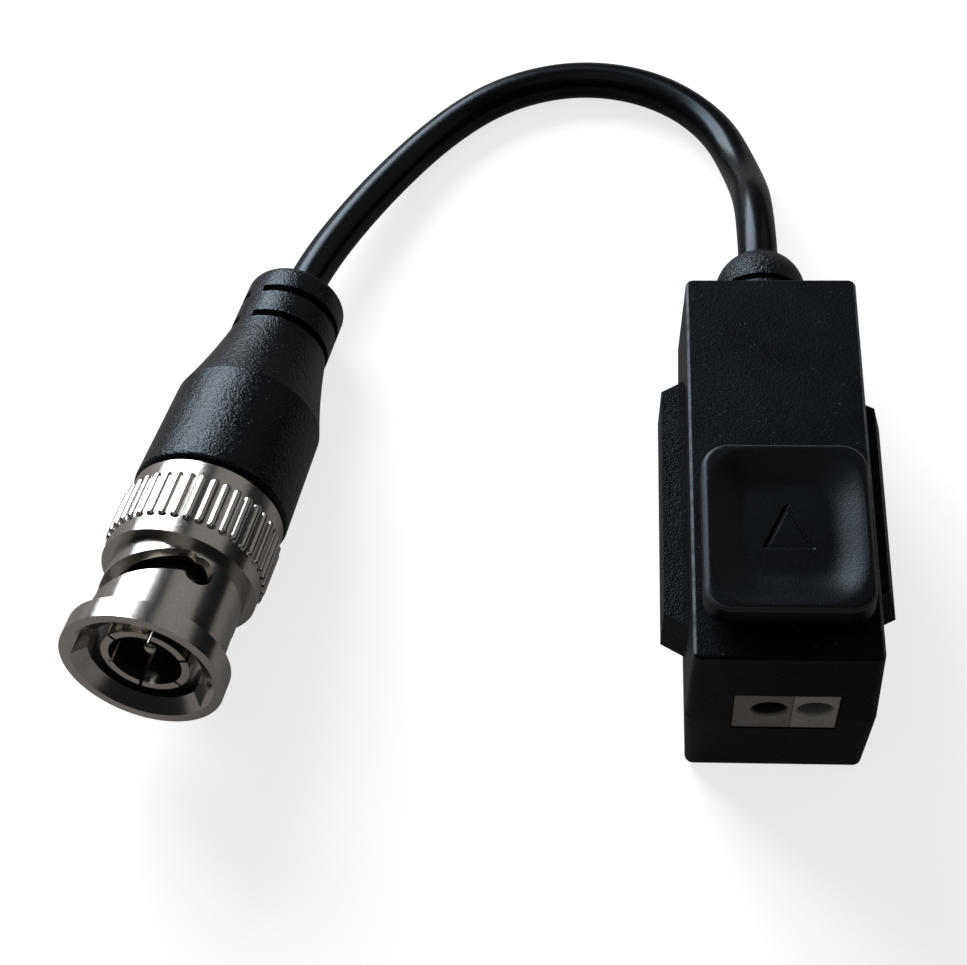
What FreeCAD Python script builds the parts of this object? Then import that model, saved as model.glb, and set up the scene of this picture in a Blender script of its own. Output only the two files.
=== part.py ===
import FreeCAD, Part
import math
import os
import re

import Sketcher

# Video balun: a small two-shell housing with a push button over two spring terminals at its front,
# and a short coaxial lead from its back to a bayonet plug that lies beside it.
# Millimetres. X is across the housing, Y runs from the terminals (-Y) to the lead (+Y), Z is up.
# The origin is the middle of the housing's underside.

document = FreeCAD.newDocument("video_balun")
sheet = document.addObject("Spreadsheet::Sheet", "Sizes")

SIZES = [
    ("Housing", None),
    ("housing_length", 40.0),
    ("parting_width", 16.1),
    ("parting_level", 9.8),
    ("housing_height", 20.0),
    ("draft", 2.0),
    ("wall", 1.4),
    ("roof", 1.5),
    ("floor_thickness", 1.5),
    ("upright_radius", 0.7),
    ("top_radius", 0.3),
    ("base_radius", 1.0),
    ("lip_height", 0.9),
    ("lip_thickness", 0.6),
    ("fit_gap", 0.05),
    ("Side rails", None),
    ("left_rail_reach", 2.0),
    ("left_rail_tall", 5.2),
    ("left_rail_front", -14.0),
    ("left_rail_rear", 11.8),
    ("left_rail_slant", 1.2),
    ("right_rail_reach", 2.3),
    ("right_rail_tall", 4.1),
    ("right_rail_front", -12.0),
    ("right_rail_rear", 12.0),
    ("right_rail_slant", 1.9),
    ("right_rail_draft", 13.0),
    ("Press button", None),
    ("cap_width", 13.9),
    ("cap_length", 16.2),
    ("cap_radius", 2.3),
    ("cap_height", 2.5),
    ("cap_middle", -9.3),
    ("cap_draft", 2.0),
    ("cap_rim", 0.9),
    ("cap_skin", 1.0),
    ("dish_depth", 0.7),
    ("dish_slope", 60.0),
    ("press_travel", 1.3),
    ("press_margin", 0.1),
    ("stem_width", 9.6),
    ("stem_length", 11.6),
    ("stem_radius", 1.2),
    ("stem_drop", 4.8),
    ("stem_skin", 1.0),
    ("stem_gap", 0.15),
    ("lug_reach", 0.7),
    ("lug_width", 4.0),
    ("lug_height", 0.8),
    ("finger_width", 1.6),
    ("finger_length", 2.2),
    ("finger_middle", -13.0),
    ("Terminals", None),
    ("pole_pitch", 3.81),
    ("pole_seam", 0.85),
    ("pole_gap", 0.06),
    ("pole_height", 5.6),
    ("pole_front", -19.8),
    ("pole_length", 10.8),
    ("end_wall", 1.1),
    ("window_gap", 0.1),
    ("funnel_width", 3.0),
    ("funnel_depth", 1.7),
    ("funnel_taper", 15.0),
    ("wire_bore", 2.1),
    ("wire_level", 11.45),
    ("chamber_width", 2.8),
    ("chamber_front", -17.1),
    ("chamber_length", 7.2),
    ("chamber_height", 4.7),
    ("Contact frames and clamp springs", None),
    ("frame_width", 2.3),
    ("frame_gauge", 0.4),
    ("frame_lift", 0.1),
    ("frame_length", 5.8),
    ("tongue_length", 2.0),
    ("tongue_level", 12.25),
    ("pin_width", 0.8),
    ("pin_place", -13.5),
    ("pin_drop", 3.4),
    ("spring_width", 2.0),
    ("spring_gauge", 0.3),
    ("spring_bend", 0.6),
    ("Circuit board", None),
    ("board_gap", 0.55),
    ("board_front", -18.2),
    ("board_length", 31.4),
    ("board_gauge", 1.2),
    ("board_top", 8.25),
    ("post_width", 2.0),
    ("post_inset", 1.2),
    ("post_front", -16.8),
    ("post_rear", 10.6),
    ("peg_width", 1.3),
    ("hole_gap", 0.1),
    ("Parts on the board", None),
    ("core_width", 7.0),
    ("core_length", 6.0),
    ("core_height", 4.2),
    ("core_middle", 1.5),
    ("core_bore", 1.8),
    ("core_pitch", 3.4),
    ("bundle_width", 1.4),
    ("arrester_width", 3.0),
    ("arrester_length", 5.0),
    ("arrester_middle", -5.7),
    ("lead_width", 0.6),
    ("disc_width", 4.2),
    ("disc_gauge", 1.8),
    ("disc_middle", 8.2),
    ("chip_gap", 0.3),
    ("chip_length", 2.0),
    ("chip_width", 1.25),
    ("chip_height", 0.6),
    ("Strain relief and cable", None),
    ("cable_width", 3.9),
    ("cable_gap", 0.05),
    ("dielectric_width", 2.4),
    ("conductor_width", 0.8),
    ("braid_width", 0.9),
    ("relief_neck", 6.4),
    ("relief_flange", 9.0),
    ("relief_flange_gauge", 1.0),
    ("relief_width", 8.8),
    ("relief_collar", 4.6),
    ("relief_groove", 0.7),
    ("relief_groove_width", 6.6),
    ("relief_head", 0.8),
    ("relief_lip", 0.25),
    ("cable_inside", 3.6),
    ("dielectric_bare", 1.4),
    ("lead_reach", 3.4),
    ("lead_bend", 0.9),
    ("Plug", None),
    ("plug_x", -54.87),
    ("plug_y", -16.7),
    ("plug_turn", 10.6),
    ("Coupling nut", None),
    ("nut_length", 18.2),
    ("nut_flange_width", 15.0),
    ("nut_flange", 2.0),
    ("nut_fillet", 0.9),
    ("nut_sleeve_width", 12.6),
    ("nut_bore", 10.5),
    ("mouth_width", 13.2),
    ("mouth_depth", 1.0),
    ("knurl_start", 9.9),
    ("knurl_width", 15.1),
    ("knurl_rim", 1.6),
    ("knurl_chamfer", 0.3),
    ("knurl_depth", 0.3),
    ("knurl_count", 40),
    ("knurl_groove", 0.4),
    ("nut_roll", 23.0),
    ("nut_chamber", 12.6),
    ("ring_groove_depth", 0.4),
    ("slot_width", 2.3),
    ("slot_depth", 5.65),
    ("slot_place", 5.5),
    ("slot_rise", 2.6),
    ("slot_turn", 87.0),
    ("detent_width", 2.7),
    ("detent_turn", 100.0),
    ("detent_dip", 0.45),
    ("lead_in", 1.7),
    ("lead_in_width", 4.4),
    ("lead_in_depth", 6.1),
    ("Plug body", None),
    ("contact_width", 8.1),
    ("contact_gauge", 0.7),
    ("contact_recess", 1.0),
    ("contact_seat", 2.5),
    ("contact_roll", 15.0),
    ("slit_width", 0.3),
    ("slit_length", 4.6),
    ("slit_count", 6),
    ("seat_gap", 0.03),
    ("flange_width", 12.0),
    ("flange_place", 10.8),
    ("flange_gauge", 1.2),
    ("neck_width", 9.6),
    ("neck_end", 20.5),
    ("stem_bore", 2.5),
    ("crimp_stem", 3.4),
    ("crimp_end", 26.0),
    ("gasket_gauge", 0.9),
    ("gasket_width", 9.3),
    ("washer_gap", 0.3),
    ("wave_height", 1.0),
    ("wave_gauge", 0.25),
    ("wave_count", 3),
    ("thrust_gauge", 0.5),
    ("ring_gauge", 0.7),
    ("ring_mouth", 2.0),
    ("stack_gap", 0.05),
    ("insulator_front", 7.0),
    ("insulator_rear", 16.5),
    ("pin_diameter", 1.35),
    ("pin_recess", 2.1),
    ("pin_tip", 0.4),
    ("shank_width", 1.8),
    ("shank_end", 18.6),
    ("ferrule_gauge", 0.5),
    ("ferrule_length", 9.5),
    ("Plug boot", None),
    ("boot_start", 18.6),
    ("boot_front_width", 14.9),
    ("boot_width", 14.4),
    ("boot_edge", 0.5),
    ("boot_barrel", 11.65),
    ("boot_cone", 9.25),
    ("boot_hollow", 75.0),
    ("boot_collar_width", 10.1),
    ("boot_collar", 7.8),
    ("boot_dome", 1.2),
    ("boot_roll", 145.0),
    ("boot_slot", 0.9),
    ("boot_slot_depth", 1.3),
    ("boot_slot_angle", 160.0),
    ("boot_slot_first", 0.6),
    ("boot_slot_pitch", 3.6),
    ("Cord", None),
    ("cord_first_run", 6.9),
    ("cord_last_run", 7.0),
]


def fill_sheet():
    """Writes the driving dimensions, one row each: name, value. A row with no value is a heading."""
    for row, (name, value) in enumerate(SIZES, start=1):
        sheet.set("A%d" % row, name)
        if value is not None:
            sheet.set("B%d" % row, str(value))
            sheet.setAlias("B%d" % row, name)
    document.recompute()


fill_sheet()
ALIASES = {name for name, value in SIZES if value is not None}


def cell(text):
    """Puts the sheet's name before each of its aliases in an expression."""

    def with_sheet(match):
        word = match.group(0)
        return "Sizes." + word if word in ALIASES else word

    return re.sub(r"[a-z][a-z_0-9]*", with_sheet, text)


def number(text):
    """The value of an expression now."""
    return float(sheet.evalExpression(cell(text)))


def new_body(label):
    body = document.addObject("PartDesign::Body", label)
    body.Label = label
    return body


def new_sketch(body, name, role="XY_Plane", level="0"):
    """A sketch on one of the body's origin planes, moved to a level along X, Y or Z."""
    plane = next(item for item in body.Origin.OriginFeatures if item.Role == role)
    sketch = body.newObject("Sketcher::SketchObject", name)
    sketch.AttachmentSupport = (plane, [""])
    sketch.MapMode = "FlatFace"
    # The XZ plane faces -Y, so its offset runs the other way.
    sign = "-1 * " if role == "XZ_Plane" else ""
    sketch.setExpression("AttachmentOffset.Base.z", cell("%s(%s)" % (sign, level)))
    return sketch


def hold(sketch, geometry, point, x, y):
    """Binds a point of the sketch to two expressions."""
    for kind, axis, text in (("DistanceX", -2, x), ("DistanceY", -1, y)):
        if text == "0":
            sketch.addConstraint(Sketcher.Constraint("PointOnObject", geometry, point, axis))
            continue
        constraint = Sketcher.Constraint(kind, -1, 1, geometry, point, number(text))
        index = sketch.addConstraint(constraint)
        sketch.setExpression("Constraints[%d]" % index, cell(text))


def bind_radius(sketch, geometry, radius):
    index = sketch.addConstraint(Sketcher.Constraint("Radius", geometry, number(radius)))
    sketch.setExpression("Constraints[%d]" % index, cell(radius))


def outline(sketch, corners, arcs=None):
    """A closed outline through corners.

    arcs gives, for the side after a corner, (radius, centre x, centre y).
    """
    arcs = arcs or {}
    count = len(corners)
    first = sketch.GeometryCount
    spots = [FreeCAD.Vector(number(x), number(y), 0) for x, y in corners]
    for i in range(count):
        start, end = spots[i], spots[(i + 1) % count]
        if i in arcs:
            radius, centre_x, centre_y = (number(text) for text in arcs[i])
            centre = FreeCAD.Vector(centre_x, centre_y, 0)
            middle = (start + end) * 0.5 - centre
            middle = centre + middle * (radius / middle.Length)
            arc = Part.Arc(start, middle, end)
            sketch.addGeometry(arc, False)
        else:
            sketch.addGeometry(Part.LineSegment(start, end), False)
    ends = []
    for i in range(count):
        # An arc runs counterclockwise, so its first point can be the side's far end.
        begin = sketch.getPoint(first + i, 1)
        flipped = begin.distanceToPoint(spots[i]) > begin.distanceToPoint(spots[(i + 1) % count])
        ends.append((2, 1) if flipped else (1, 2))
    for i in range(count):
        after = (i + 1) % count
        sketch.addConstraint(
            Sketcher.Constraint("Coincident", first + i, ends[i][1], first + after, ends[after][0])
        )
    for i, (x, y) in enumerate(corners):
        hold(sketch, first + i, ends[i][0], x, y)
    for i in arcs:
        bind_radius(sketch, first + i, arcs[i][0])


def box_outline(sketch, left, right, low, high):
    outline(sketch, [(left, low), (right, low), (right, high), (left, high)])


def rounded_outline(sketch, left, right, low, high, radius):
    """A rectangle with rounded corners."""
    left_in, right_in = "%s + %s" % (left, radius), "%s - (%s)" % (right, radius)
    low_in, high_in = "%s + %s" % (low, radius), "%s - (%s)" % (high, radius)
    corners = [
        (left_in, low),
        (right_in, low),
        (right, low_in),
        (right, high_in),
        (right_in, high),
        (left_in, high),
        (left, high_in),
        (left, low_in),
    ]
    arcs = {
        1: (radius, right_in, low_in),
        3: (radius, right_in, high_in),
        5: (radius, left_in, high_in),
        7: (radius, left_in, low_in),
    }
    outline(sketch, corners, arcs)


def circle(sketch, x, y, radius):
    centre = FreeCAD.Vector(number(x), number(y), 0)
    index = sketch.addGeometry(Part.Circle(centre, FreeCAD.Vector(0, 0, 1), number(radius)), False)
    hold(sketch, index, 3, x, y)
    bind_radius(sketch, index, radius)


def bent_path(sketch, corners, radius):
    """Straight runs through the corners, joined by tangent arcs of one radius."""
    spots = [FreeCAD.Vector(number(x), number(y), 0) for x, y in corners]
    bend = number(radius)
    cuts = []
    for before, here, after in zip(spots, spots[1:], spots[2:]):
        into, out = (here - before).normalize(), (after - here).normalize()
        turn = into.getAngle(out)
        reach = bend * math.tan(turn / 2)
        start, end = here - into * reach, here + out * reach
        inward = (out - into).normalize()
        centre = here + inward * (bend / math.cos(turn / 2))
        cuts.append((start, centre - inward * bend, end))
    starts = [spots[0]] + [cut[2] for cut in cuts]
    ends = [cut[0] for cut in cuts] + [spots[-1]]
    lines = [sketch.addGeometry(Part.LineSegment(a, b), False) for a, b in zip(starts, ends)]
    marks = [sketch.addGeometry(Part.Point(spot), True) for spot in spots[1:-1]]
    for i, (start, middle, end) in enumerate(cuts):
        arc = sketch.addGeometry(Part.Arc(start, middle, end), False)
        near_start = sketch.getPoint(arc, 1).distanceToPoint(start)
        near_end = sketch.getPoint(arc, 1).distanceToPoint(end)
        first, last = (1, 2) if near_start < near_end else (2, 1)
        sketch.addConstraint(Sketcher.Constraint("Tangent", lines[i], 2, arc, first))
        sketch.addConstraint(Sketcher.Constraint("Tangent", arc, last, lines[i + 1], 1))
        bind_radius(sketch, arc, radius)
        hold(sketch, marks[i], 1, *corners[i + 1])
        sketch.addConstraint(Sketcher.Constraint("PointOnObject", marks[i], 1, lines[i]))
        sketch.addConstraint(Sketcher.Constraint("PointOnObject", marks[i], 1, lines[i + 1]))
    hold(sketch, lines[0], 1, *corners[0])
    hold(sketch, lines[-1], 2, *corners[-1])


def swept(body, kind, sketch, length, taper=None, back=False, middle=False):
    """A pad or a pocket of a sketch. back turns it round, and middle puts the sketch halfway."""
    before = body.Shape.Volume if body.Tip else 0.0
    feature = body.newObject("PartDesign::" + kind, sketch.Name + "_" + kind.lower())
    feature.Profile = sketch
    feature.setExpression("Length", cell(length))
    if taper:
        feature.setExpression("TaperAngle", cell(taper))
    feature.Reversed = back
    feature.SideType = "Symmetric" if middle else "One side"
    document.recompute()
    change = body.Shape.Volume - before
    if (change > 0) != (kind == "Pad"):
        raise RuntimeError("%s changes the volume by %.4f" % (feature.Name, change))
    return feature


def pad(body, sketch, length, **options):
    return swept(body, "Pad", sketch, length, **options)


def pocket(body, sketch, length, **options):
    return swept(body, "Pocket", sketch, length, **options)


def turned(body, sketch, axis="V_Axis", cut=False, angle=360):
    """A revolution, or a groove, about one of the sketch's own axes."""
    before = body.Shape.Volume if body.Tip else 0.0
    kind = "Groove" if cut else "Revolution"
    feature = body.newObject("PartDesign::" + kind, sketch.Name + "_" + kind.lower())
    feature.Profile = sketch
    feature.ReferenceAxis = (sketch, [axis])
    if isinstance(angle, str):
        feature.setExpression("Angle", cell(angle))
        feature.Midplane = True
    else:
        feature.Angle = angle
    document.recompute()
    change = body.Shape.Volume - before
    if (change < 0) != cut:
        raise RuntimeError("%s changes the volume by %.4f" % (feature.Name, change))
    return feature


def along(body, profile, path):
    """A pipe of the profile along the whole path sketch."""
    feature = body.newObject("PartDesign::AdditivePipe", profile.Name + "_pipe")
    feature.Profile = profile
    feature.Spine = (path, ["Edge%d" % (i + 1) for i in range(len(path.Shape.Edges))])
    document.recompute()
    return feature


def round_edges(body, radius, wanted, kind="Fillet"):
    """Fillets, or chamfers, the edges of the body that wanted() picks by their shape."""
    base = body.Tip
    names = ["Edge%d" % (i + 1) for i, edge in enumerate(base.Shape.Edges) if wanted(edge)]
    if not names:
        raise RuntimeError("no edge to round on " + body.Label)
    feature = body.newObject("PartDesign::" + kind, body.Label + "_" + kind.lower())
    feature.Base = (base, names)
    feature.setExpression("Radius" if kind == "Fillet" else "Size", cell(radius))
    document.recompute()
    if "Invalid" in feature.State or feature.Shape.isNull():
        raise RuntimeError("%s failed on %s" % (feature.Name, ", ".join(names)))
    return feature


def repeat(body, features, count, axis):
    """Repeats features evenly round one of the body's origin axes."""
    pattern = body.newObject("PartDesign::PolarPattern", body.Label + "_" + features[0].Name)
    pattern.Originals = features
    line = next(item for item in body.Origin.OriginFeatures if item.Role == axis)
    pattern.Axis = (line, [""])
    pattern.Angle = 360
    if isinstance(count, str):
        pattern.setExpression("Occurrences", cell(count))
    else:
        pattern.Occurrences = count
    body.Tip = pattern
    document.recompute()
    return pattern


def is_upright(edge):
    """True for a near vertical edge."""
    box = edge.BoundBox
    return box.ZLength > 4 * max(box.XLength, box.YLength)


HALF_WIDTH = "parting_width / 2"
HALF_LENGTH = "housing_length / 2"
POLE_RIGHT = "pole_seam + pole_pitch"
POLE_LEFT = "pole_seam - pole_pitch - end_wall"
LEFT_BORE = "(pole_seam - pole_pitch / 2)"
RIGHT_BORE = "(pole_seam + pole_pitch / 2)"
WINDOW_LOW = "board_top - window_gap / 2"
WINDOW_HIGH = "board_top + pole_height + window_gap"
CAP_BOTTOM = "housing_height + press_travel + press_margin"
ROOF_BELOW = "housing_height - roof"
BOARD_BOTTOM = "board_top - board_gauge"
BOARD_EDGE = "(%s - wall - board_gap)" % HALF_WIDTH
POST_PLACE = "(%s - post_inset)" % BOARD_EDGE


def shell_outline(sketch, inset):
    """The housing's rectangle at the parting line, less an inset all round."""
    across, deep = "%s - (%s)" % (HALF_WIDTH, inset), "%s - (%s)" % (HALF_LENGTH, inset)
    box_outline(sketch, "-(%s)" % across, across, "-(%s)" % deep, deep)


def cut_shared_openings(body, high):
    """The terminal window at the front and the strain relief's seat at the back, in either shell."""
    window = new_sketch(body, body.Label + "_window", "XZ_Plane", "-housing_length / 2")
    low = "parting_level - lip_height - fit_gap" if high else WINDOW_LOW
    top = WINDOW_HIGH if high else "parting_level + 2 * lip_height"
    box_outline(window, POLE_LEFT + " - window_gap", POLE_RIGHT + " + window_gap", low, top)
    pocket(body, window, "2 * wall")
    seat = new_sketch(body, body.Label + "_seat", "XZ_Plane", HALF_LENGTH)
    circle(seat, "0", "parting_level", "relief_neck / 2 + fit_gap")
    pocket(body, seat, "2 * wall", back=True)


def make_upper_shell():
    """The top half: drafted walls, roof with the button's well, and the two side rails."""
    body = new_body("upper_shell")
    outer = new_sketch(body, "upper_outer", level="parting_level")
    shell_outline(outer, "0")
    pad(body, outer, "housing_height - parting_level", taper="-draft")
    round_edges(body, "upright_radius", is_upright)
    top = number("housing_height")
    round_edges(body, "top_radius", lambda edge: edge.BoundBox.ZMin > top - 0.001)

    left = new_sketch(body, "left_rail", level="parting_level")
    left_outer = "-%s - left_rail_reach" % HALF_WIDTH
    left_root = "-%s + wall / 2" % HALF_WIDTH
    outline(
        left,
        [
            (left_outer, "left_rail_front + left_rail_slant"),
            (left_root, "left_rail_front - left_rail_slant * wall / left_rail_reach / 2"),
            (left_root, "left_rail_rear + left_rail_slant * wall / left_rail_reach / 2"),
            (left_outer, "left_rail_rear - left_rail_slant"),
        ],
    )
    pad(body, left, "left_rail_tall", taper="-draft")

    right = new_sketch(body, "right_rail", level="parting_level")
    right_outer = "%s + right_rail_reach" % HALF_WIDTH
    right_root = "%s - wall * 0.9" % HALF_WIDTH
    outline(
        right,
        [
            (right_outer, "right_rail_front + right_rail_slant"),
            (right_outer, "right_rail_rear - right_rail_slant"),
            (right_root, "right_rail_rear"),
            (right_root, "right_rail_front"),
        ],
    )
    pad(body, right, "right_rail_tall", taper="-right_rail_draft")

    cavity = new_sketch(body, "upper_cavity", level="parting_level")
    shell_outline(cavity, "wall")
    pocket(body, cavity, ROOF_BELOW + " - parting_level", taper="-draft", back=True)
    rebate = new_sketch(body, "upper_rebate", level="parting_level")
    shell_outline(rebate, "wall - lip_thickness - fit_gap")
    pocket(body, rebate, "lip_height + fit_gap", back=True)
    cut_shared_openings(body, high=True)

    well = new_sketch(body, "button_well", level="housing_height")
    rounded_outline(
        well,
        "-stem_width / 2 - stem_gap",
        "stem_width / 2 + stem_gap",
        "cap_middle - stem_length / 2 - stem_gap",
        "cap_middle + stem_length / 2 + stem_gap",
        "(stem_radius + stem_gap)",
    )
    pocket(body, well, "roof + wall")
    return body


def make_lower_shell():
    """The base half: drafted walls, rounded underside, locating lip, board posts and pegs."""
    body = new_body("lower_shell")
    outer = new_sketch(body, "lower_outer", level="parting_level")
    shell_outline(outer, "0")
    pad(body, outer, "parting_level", taper="-draft", back=True)
    round_edges(body, "base_radius", lambda edge: edge.BoundBox.ZMax < 0.001)
    round_edges(body, "upright_radius", is_upright)

    lip = new_sketch(body, "lip", level="parting_level")
    shell_outline(lip, "wall - lip_thickness")
    pad(body, lip, "lip_height")
    cavity = new_sketch(body, "lower_cavity", level="parting_level + lip_height")
    shell_outline(cavity, "wall")
    pocket(body, cavity, "parting_level + lip_height - floor_thickness", taper="-draft")
    cut_shared_openings(body, high=False)

    posts = new_sketch(body, "posts", level="floor_thickness")
    pegs = new_sketch(body, "pegs", level=BOARD_BOTTOM)
    for side in ("-", "+"):
        x = "%s1 * %s" % (side, POST_PLACE)
        for place in ("post_front", "post_rear"):
            half = "post_width / 2"
            box_outline(posts, x + " - " + half, x + " + " + half, place + " - " + half, place + " + " + half)
        circle(pegs, x, "post_rear", "peg_width / 2")
    pad(body, posts, BOARD_BOTTOM + " - floor_thickness")
    pad(body, pegs, "board_gauge + 0.5 * board_gauge")
    return body


def make_press_button():
    """The button: dished cap, hollow stem with retaining lugs, and a finger over each clamp spring."""
    body = new_body("press_button")
    low, high = "cap_middle - cap_length / 2", "cap_middle + cap_length / 2"
    cap = new_sketch(body, "cap", level=CAP_BOTTOM)
    rounded_outline(cap, "-cap_width / 2", "cap_width / 2", low, high, "cap_radius")
    pad(body, cap, "cap_height", taper="-cap_draft")
    top = number(CAP_BOTTOM + " + cap_height")
    round_edges(body, "top_radius", lambda edge: edge.BoundBox.ZMin > top - 0.001)
    dish = new_sketch(body, "dish", level=CAP_BOTTOM + " + cap_height")
    rounded_outline(
        dish,
        "-cap_width / 2 + cap_rim",
        "cap_width / 2 - cap_rim",
        low + " + cap_rim",
        high + " - cap_rim",
        "(cap_radius - cap_rim / 2)",
    )
    pocket(body, dish, "dish_depth", taper="-dish_slope")
    under = new_sketch(body, "cap_underside", level=CAP_BOTTOM)
    rounded_outline(
        under,
        "-cap_width / 2 + cap_skin",
        "cap_width / 2 - cap_skin",
        low + " + cap_skin",
        high + " - cap_skin",
        "(cap_radius - cap_skin)",
    )
    pocket(body, under, "cap_height - dish_depth - 0.8 * cap_skin", back=True)

    stem_low, stem_high = "cap_middle - stem_length / 2", "cap_middle + stem_length / 2"
    stem = new_sketch(body, "stem", level=CAP_BOTTOM + " + cap_height - dish_depth - 0.4 * cap_skin")
    rounded_outline(stem, "-stem_width / 2", "stem_width / 2", stem_low, stem_high, "stem_radius")
    pad(body, stem, "stem_drop + cap_height - dish_depth - 0.4 * cap_skin", back=True)
    hollow = new_sketch(body, "stem_hollow", level=CAP_BOTTOM + " - stem_drop")
    box_outline(
        hollow,
        "-stem_width / 2 + stem_skin",
        "stem_width / 2 - stem_skin",
        stem_low + " + stem_skin",
        stem_high + " - stem_skin",
    )
    pocket(body, hollow, "stem_drop", back=True)
    lugs = new_sketch(body, "lugs", level=ROOF_BELOW + " - press_margin")
    for edge_in, edge_out in (
        (stem_low + " + stem_skin / 2", stem_low + " - lug_reach"),
        (stem_high + " - stem_skin / 2", stem_high + " + lug_reach"),
    ):
        box_outline(lugs, "-lug_width / 2", "lug_width / 2", edge_out, edge_in)
    pad(body, lugs, "lug_height", back=True)

    fingers = new_sketch(body, "fingers", level=FINGER_TIP)
    for bore in (LEFT_BORE, RIGHT_BORE):
        box_outline(
            fingers,
            bore + " - finger_width / 2",
            bore + " + finger_width / 2",
            "finger_middle - finger_length / 2",
            "finger_middle + finger_length / 2",
        )
    pad(body, fingers, "%s + 0.5 * cap_skin - (%s)" % (CAP_BOTTOM, FINGER_TIP))
    return body


# The clamp spring's upper leg runs from its rear bend up to the contact frame's tongue, and the
# button's fingers end just above it.
LEG_LOW_Z = "(board_top + frame_lift + frame_gauge + spring_gauge / 2 + fit_gap)"
LEG_BACK_Y = "(chamber_front + frame_length + 0.2 * frame_gauge)"
LEG_BACK_Z = "(board_top + 0.5 * pole_height)"
LEG_TIP_Y = "(chamber_front + frame_gauge + 0.7 * tongue_length)"
LEG_TIP_Z = "(tongue_level - spring_gauge)"
LEG_FRONT_Y = "(chamber_front + 3 * frame_gauge)"
LEG_SLOPE = "(%s - %s) / (%s - %s)" % (LEG_TIP_Z, LEG_BACK_Z, LEG_BACK_Y, LEG_TIP_Y)
FINGER_FRONT = "(finger_middle - finger_length / 2)"
FINGER_TIP = "(%s + (%s - %s) * %s + spring_gauge)" % (LEG_BACK_Z, LEG_BACK_Y, FINGER_FRONT, LEG_SLOPE)


def make_pole(label, left, right, bore):
    """One terminal pole: block, wire funnel and bore, spring chamber open below, finger slot on top."""
    body = new_body(label)
    rear = "pole_front + pole_length"
    block = new_sketch(body, label + "_block", level="board_top")
    box_outline(block, left, right, "pole_front", rear)
    pad(body, block, "pole_height")
    funnel = new_sketch(body, label + "_funnel", "XZ_Plane", "pole_front")
    circle(funnel, bore, "wire_level", "funnel_width / 2")
    pocket(body, funnel, "funnel_depth", taper="-funnel_taper")
    hole = new_sketch(body, label + "_bore", "XZ_Plane", "pole_front")
    circle(hole, bore, "wire_level", "wire_bore / 2")
    pocket(body, hole, "chamber_front - pole_front + fit_gap")
    chamber = new_sketch(body, label + "_chamber", level="board_top")
    half = "chamber_width / 2"
    chamber_rear = "chamber_front + chamber_length"
    box_outline(chamber, bore + " - " + half, bore + " + " + half, "chamber_front", chamber_rear)
    pocket(body, chamber, "chamber_height", back=True)
    slot = new_sketch(body, label + "_slot", level="board_top + pole_height")
    box_outline(
        slot,
        bore + " - finger_width / 2 - 2 * stem_gap",
        bore + " + finger_width / 2 + 2 * stem_gap",
        "finger_middle - finger_length / 2 - 2 * stem_gap",
        "finger_middle + finger_length / 2 + 2 * stem_gap",
    )
    pocket(body, slot, "pole_height - chamber_height + fit_gap")
    return body


def make_contact_frame(label, bore):
    """Tinned copper frame: floor, front upright with a window for the wire, tongue and board pin."""
    body = new_body(label)
    side = new_sketch(body, label + "_side", "YZ_Plane", bore)
    floor_low = "board_top + frame_lift"
    front = "chamber_front + fit_gap"
    inner = "chamber_front + fit_gap + frame_gauge"
    outline(
        side,
        [
            (front, floor_low),
            ("chamber_front + frame_length", floor_low),
            ("chamber_front + frame_length", floor_low + " + frame_gauge"),
            (inner, floor_low + " + frame_gauge"),
            (inner, "tongue_level"),
            (inner + " + tongue_length", "tongue_level"),
            (inner + " + tongue_length", "tongue_level + frame_gauge"),
            (front, "tongue_level + frame_gauge"),
        ],
    )
    pad(body, side, "frame_width", middle=True)
    window = new_sketch(body, label + "_window", "XZ_Plane", "chamber_front")
    circle(window, bore, "wire_level", "wire_bore / 2 - 2 * fit_gap")
    pocket(body, window, "2 * frame_gauge")
    pin = new_sketch(body, label + "_pin", level=floor_low)
    half = "pin_width / 2"
    box_outline(pin, bore + " - " + half, bore + " + " + half, "pin_place - " + half, "pin_place + " + half)
    pad(body, pin, "pin_drop", back=True)
    return body


def make_clamp_spring(label, bore):
    """A folded leaf spring: floor leg, rear bend, and a rising leg that closes on the tongue."""
    body = new_body(label)
    path = new_sketch(body, label + "_path", "YZ_Plane", bore)
    bent_path(
        path,
        [
            (LEG_FRONT_Y, LEG_LOW_Z),
            (LEG_BACK_Y, LEG_LOW_Z),
            (LEG_BACK_Y, LEG_BACK_Z),
            (LEG_TIP_Y, LEG_TIP_Z),
        ],
        "spring_bend",
    )
    strip = new_sketch(body, label + "_strip", "XZ_Plane", LEG_FRONT_Y)
    box_outline(
        strip,
        bore + " - spring_width / 2",
        bore + " + spring_width / 2",
        LEG_LOW_Z + " - spring_gauge / 2",
        LEG_LOW_Z + " + spring_gauge / 2",
    )
    document.recompute()
    along(body, strip, path)
    return body


def make_circuit_board():
    body = new_body("circuit_board")
    plate = new_sketch(body, "plate", level=BOARD_BOTTOM)
    box_outline(plate, "-1 * " + BOARD_EDGE, BOARD_EDGE, "board_front", "board_front + board_length")
    pad(body, plate, "board_gauge")
    holes = new_sketch(body, "board_holes", level="board_top")
    for bore in (LEFT_BORE, RIGHT_BORE):
        circle(holes, bore, "pin_place", "0.71 * pin_width + hole_gap")
    for side in ("-", "+"):
        circle(holes, "%s1 * %s" % (side, POST_PLACE), "post_rear", "peg_width / 2 + hole_gap")
    pocket(body, holes, "board_gauge")
    return body


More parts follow.
